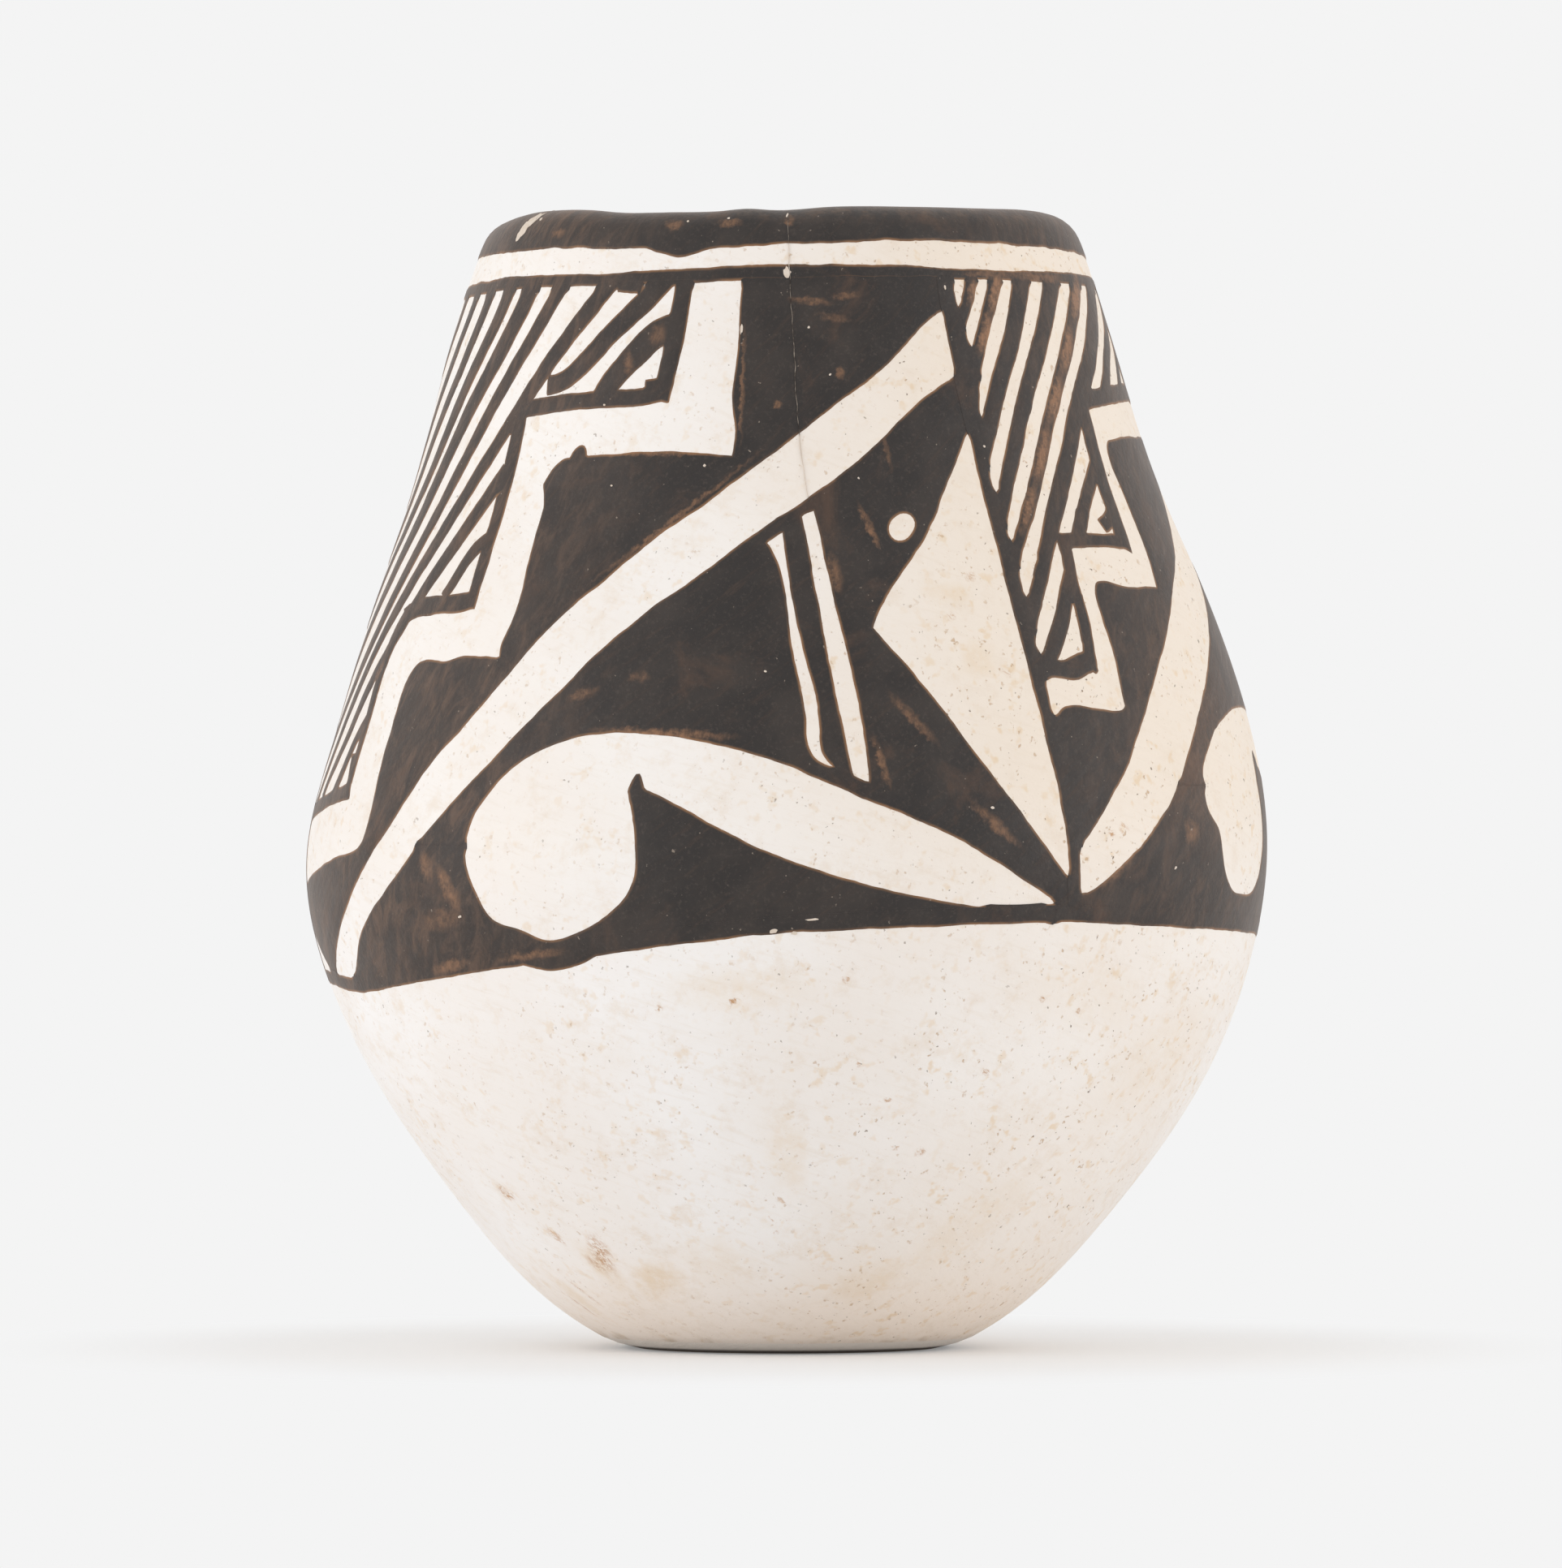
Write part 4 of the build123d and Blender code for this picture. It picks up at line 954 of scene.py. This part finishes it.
def paint_material():
    """Mineral black, brown where it lies thin, with brush streaks and grains that break it, and lighter
    towards both sides of the front, partly thin paint and partly painted sheen.
    """
    paint = Coat("black_paint", specular=0.4)
    paint.feed(paint.surface, PAINT_SHEEN)
    paint.ground(paint.ease(paint.cloud(0.3, 5, 0.6), 0.35, 0.68), (39, 34, 32), (53, 46, 42))
    paint.tint(paint.ease(paint.cloud(4.0, 4, 0.7), 0.5, 0.75, 0.0, 0.5), (78, 68, 61))
    streak = paint.streaks((3.0, 0.45), 38, 6, 0.7)
    paint.tint(paint.ease(streak, 0.5, 0.76, 0.0, 0.4), (80, 62, 51))
    # Lighter brown on both sides of the front, strongest from about 50 to 75 degrees either way: partly thin
    # paint, partly painted sheen of grazing light.
    smeared = paint.ease(paint.streaks((1.0, 2.6), -20, 6, 0.7, 0.7), 0.42, 0.7, 0.1, 0.72)
    around = paint.around
    left = paint.times(paint.ease(around, -22, -6, 1.0, 0.0), paint.ease(around, -54, -34, 0.3, 1.0))
    right = paint.times(paint.ease(around, 10, 24, 0.0, 0.6), paint.ease(around, 34, 54, 1.0, 0.5))
    thin_paint_and_side_sheen = paint.times(paint.larger(left, right), smeared)
    paint.tint(thin_paint_and_side_sheen, (106, 82, 66))
    washed = paint.ease(paint.cloud(0.16, 6, 0.68, 0.6), 0.54, 0.74, 0.0, 0.6)
    paint.tint(washed, (90, 66, 51))
    flames = paint.streaks((0.28, 1.0), -14, 5, 0.7, 0.8)
    broken = paint.times(paint.ease(flames, 0.36, 0.6, 0.55, 1.0),
                         paint.ease(paint.cloud(2.0, 5, 0.7), 0.36, 0.6, 0.4, 1.0))
    thin = paint.times(paint.spots(paint.unsteady(2.0, 0.8), PAINT_THIN), broken)
    paint.tint(thin, (142, 104, 76), 0.9)
    rubbed = paint.ease(paint.cloud(0.9, 5, 0.7), 0.4, 0.75)
    paint.tint(paint.times(paint.ease(paint.height, *LIP_HEIGHTS), rubbed), (122, 94, 72), 0.42)
    edge = paint.make("Attribute", {}, attribute_name="edge").outputs["Fac"]
    ragged = paint.ease(paint.cloud(0.28, 4, 0.6), 0.36, 0.6, 0.25, 1.0)
    feathered = paint.times(paint.ease(edge, 0.0, 1.0, 1.0, 0.0), ragged)
    paint.tint(feathered, (160, 116, 78), 0.75)
    paint.tint(paint.flecked(2.7, 0.72, 0.05, 80), (176, 160, 144), 0.5)
    relief = paint.maths("ADD", paint.cloud(2.8, 5, 0.65), paint.times(streak, 0.3))
    return paint.finished(paint.ease(streak, 0.2, 0.8, 0.46, 0.62), relief, depth=0.03)


def clay_material():
    """Scraped pale clay with temper grains, finger streaks and grey smudges, thin slip at the foot, and a
    painted contact shadow where the foot meets the floor.
    """
    clay = Coat("fired_clay", specular=0.25)
    clay.ground(clay.ease(clay.cloud(0.1, 4), 0.3, 0.7), (214, 197, 174), (192, 170, 144))
    scraped = clay.streaks((8.0, 0.55), 4, 5, 0.65)
    clay.tint(clay.ease(scraped, 0.45, 0.75, 0.0, 0.5), (174, 150, 122))
    smudged = clay.ease(clay.cloud(0.06, 3, 0.5, 0.8), 0.55, 0.75, 0.0, 0.5)
    clay.tint(smudged, (150, 134, 118))
    clay.tint(clay.grains(0.8, 0.25, 0.2), (104, 86, 68), 0.6)
    clay.tint(clay.grains(0.6, 0.25, 0.22, 35), (232, 222, 206), 0.5)
    foot = clay.hill(clay.height, (0.02, 0.1), (1.0, 1.4))
    clay.tint(foot, (243, 236, 229), 0.92)
    # Painted contact shadow: a dark line on the lowest 0.05 to 0.3 mm of the foot, where it meets the floor.
    painted_contact_shade = clay.hill(clay.height, (0.01, 0.05), (0.12, 0.3))
    clay.tint(painted_contact_shade, (74, 58, 44), 0.9)
    relief = clay.maths("ADD", clay.cloud(2.2, 5, 0.65), clay.times(scraped, 2.0))
    return clay.finished(clay.ease(scraped, 0.2, 0.8, 0.7, 0.9), relief, depth=0.06)


def chip_material():
    """Bare slip in a chip, a little dusty."""
    chip = Coat("chipped_slip", specular=0.25)
    chip.ground(chip.cloud(2.2, 4), (232, 222, 212), (206, 186, 164))
    return chip.finished(chip.ease(chip.cloud(3.0, 3), 0.2, 0.8, 0.6, 0.85), chip.cloud(4.0, 4), depth=0.02)


def crack_material():
    """A hairline crack: pale dust where it crosses the paint, a grey line where it crosses the slip."""
    crack = Coat("crack_line", specular=0.2)
    dust = crack.ease(crack.cloud(1.8, 4), 0.36, 0.66)
    crack.ground(dust, (58, 50, 46), (158, 146, 134))
    on_band = crack.hill(crack.height, *CRACK_ON_BAND)
    under_rim = crack.hill(crack.height, *CRACK_UNDER_RIM)
    crack.tint(crack.larger(on_band, under_rim), (208, 194, 180))
    return crack.finished(crack.ease(dust, 0.0, 1.0, 0.7, 0.9), dust, depth=0.01)


# Jar: painted areas that go right round it, and how far lines and strokes, drawn over the fields, stand up.

BAND_NODES = ("rim_band", "upper_line")
LIFTS = {"lower_line": LINE_LIFT, "divider": LINE_LIFT, "hatching": STROKE_LIFT}


def nodes_of(slot):
    """Names of the solids of one kind."""
    return [entry["node"] for entry in frame["record"]["subparts"] if entry["material_slot"] == slot]


def build_jar():
    """Every piece of the jar."""
    clay, slip, paint = clay_material(), slip_material(), paint_material()
    for name in nodes_of("clay"):
        add_turned(f"clay_{name}", name, CLAY_STEP, clay)
    add_turned("slip_skin", "slip_coat", WALL_STEP, slip)
    films = [name for name in nodes_of("paint") if name not in BAND_NODES]
    edges = {name: np.vstack([even_steps(loop, SHARED_STEP) for loop in outlines(name)])
             for name in films + ["upper_line"]}
    for name in films:
        kind, _ = name.rsplit("_", 1)
        others = np.vstack([points for other, points in edges.items() if other != name])
        add_film(name, LIFTS.get(kind, FIELD_LIFT), tree_of(others), paint)
    add_band("rim_band", rim_band_edges(), RIM_BAND_ROWS, paint)
    add_band("upper_line", upper_line_edges(), LINE_ROWS, paint)
    add_flecks(chip_material())
    add_crack(crack_material())


# Stage: the floor, the ring in which it fades into the background and how far it has faded at the foot, the
# light all round, and soft boxes by place, size and power.

BACKGROUND = srgb(244, 244, 244)
FLOOR_COLOUR = srgb(247, 246, 245)
FLOOR_ROUGHNESS = 0.9
FLOOR_DROP = 0.03
FLOOR_HALF = 6000.0
FLOOR_FADE = (28.0, 52.0)
FLOOR_GLOW = 0.22
WORLD_COLOUR = (1.0, 1.0, 1.0, 1.0)
WORLD_LIGHT = 0.8
LAMPS = [
    ("left_box", (-660, -240, 45), 520, 2.3),
    ("right_box", (680, -200, 55), 520, 1.85),
    ("top_box", (20, 160, 720), 700, 0.3),
]
LAMP_AIM = (0, 0, 34)


def add_floor():
    """A pale floor that takes the jar's shadow and runs out into the background."""
    half, low = FLOOR_HALF, -FLOOR_DROP
    corners = np.array([(-half, -half, low), (half, -half, low), (half, half, low), (-half, half, low)]) * MM
    mesh = bpy.data.meshes.new("floor")
    mesh.from_pydata(corners.tolist(), [], [(0, 1, 2, 3)])
    floor = placed("floor", mesh)
    made = bpy.data.materials.new("pale_floor")
    made.use_nodes = True
    nodes = Nodes(made.node_tree)
    surface = nodes.tree.nodes["Principled BSDF"]
    nodes.feed(surface, {"Base Color": FLOOR_COLOUR, "Roughness": FLOOR_ROUGHNESS, "Specular IOR Level": 0.0})
    far = nodes.ease(nodes.length(nodes.millimetres()), *FLOOR_FADE, FLOOR_GLOW, 1.0)
    glow = nodes.make("Emission", {"Color": BACKGROUND, "Strength": 1.0}).outputs[0]
    share = nodes.times(far, nodes.seen_directly())
    mixed = nodes.make("MixShader", {0: share, 1: surface.outputs[0], 2: glow}).outputs[0]
    nodes.feed(nodes.tree.nodes["Material Output"], {"Surface": mixed})
    mesh.materials.append(made)


def add_world():
    """Even white light all round, and the pale background."""
    world = bpy.data.worlds.new("studio")
    world.use_nodes = True
    bpy.context.scene.world = world
    nodes = Nodes(world.node_tree)
    light = nodes.tree.nodes["Background"]
    nodes.feed(light, {"Color": WORLD_COLOUR, "Strength": WORLD_LIGHT})
    shown = nodes.make("Background", {"Color": BACKGROUND, "Strength": 1.0}).outputs[0]
    mixed = nodes.make("MixShader", {0: nodes.seen_directly(), 1: light.outputs[0], 2: shown}).outputs[0]
    nodes.feed(nodes.tree.nodes["World Output"], {"Surface": mixed})


def add_lamps():
    """Large soft boxes round the jar."""
    for name, spot, size, power in LAMPS:
        data = bpy.data.lights.new(name, "AREA")
        data.shape = "SQUARE"
        data.size = size * MM
        data.energy = power
        lamp = placed(name, data)
        lamp.location = Vector(spot) * MM
        lamp.rotation_euler = (Vector(LAMP_AIM) - Vector(spot)).to_track_quat("-Z", "Y").to_euler()


def add_camera():
    """The eye, looking level along +Y."""
    data = bpy.data.cameras.new("camera")
    data.sensor_width = SENSOR
    largest = max(PICTURE)
    data.lens = SENSOR * EYE_DISTANCE * PIXELS_PER_MM / largest
    data.shift_x = (PICTURE[0] / 2 - AXIS_PIXEL) / largest
    data.shift_y = (EYE_PIXEL - PICTURE[1] / 2) / largest
    data.clip_end = 4 * FLOOR_HALF * MM
    camera = placed("camera", data)
    camera.location = Vector((0, -EYE_DISTANCE, EYE_HEIGHT)) * MM
    camera.rotation_euler = (math.pi / 2, 0, 0)
    bpy.context.scene.camera = camera


def clear_stage():
    """Whatever stands on the stage at first, taken away."""
    for start in ("Cube", "Light", "Camera"):
        if start in bpy.data.objects:
            bpy.data.objects.remove(bpy.data.objects[start])


clear_stage()
build_jar()
add_floor()
add_world()
add_lamps()
add_camera()
bpy.context.scene.view_settings.view_transform = "Standard"
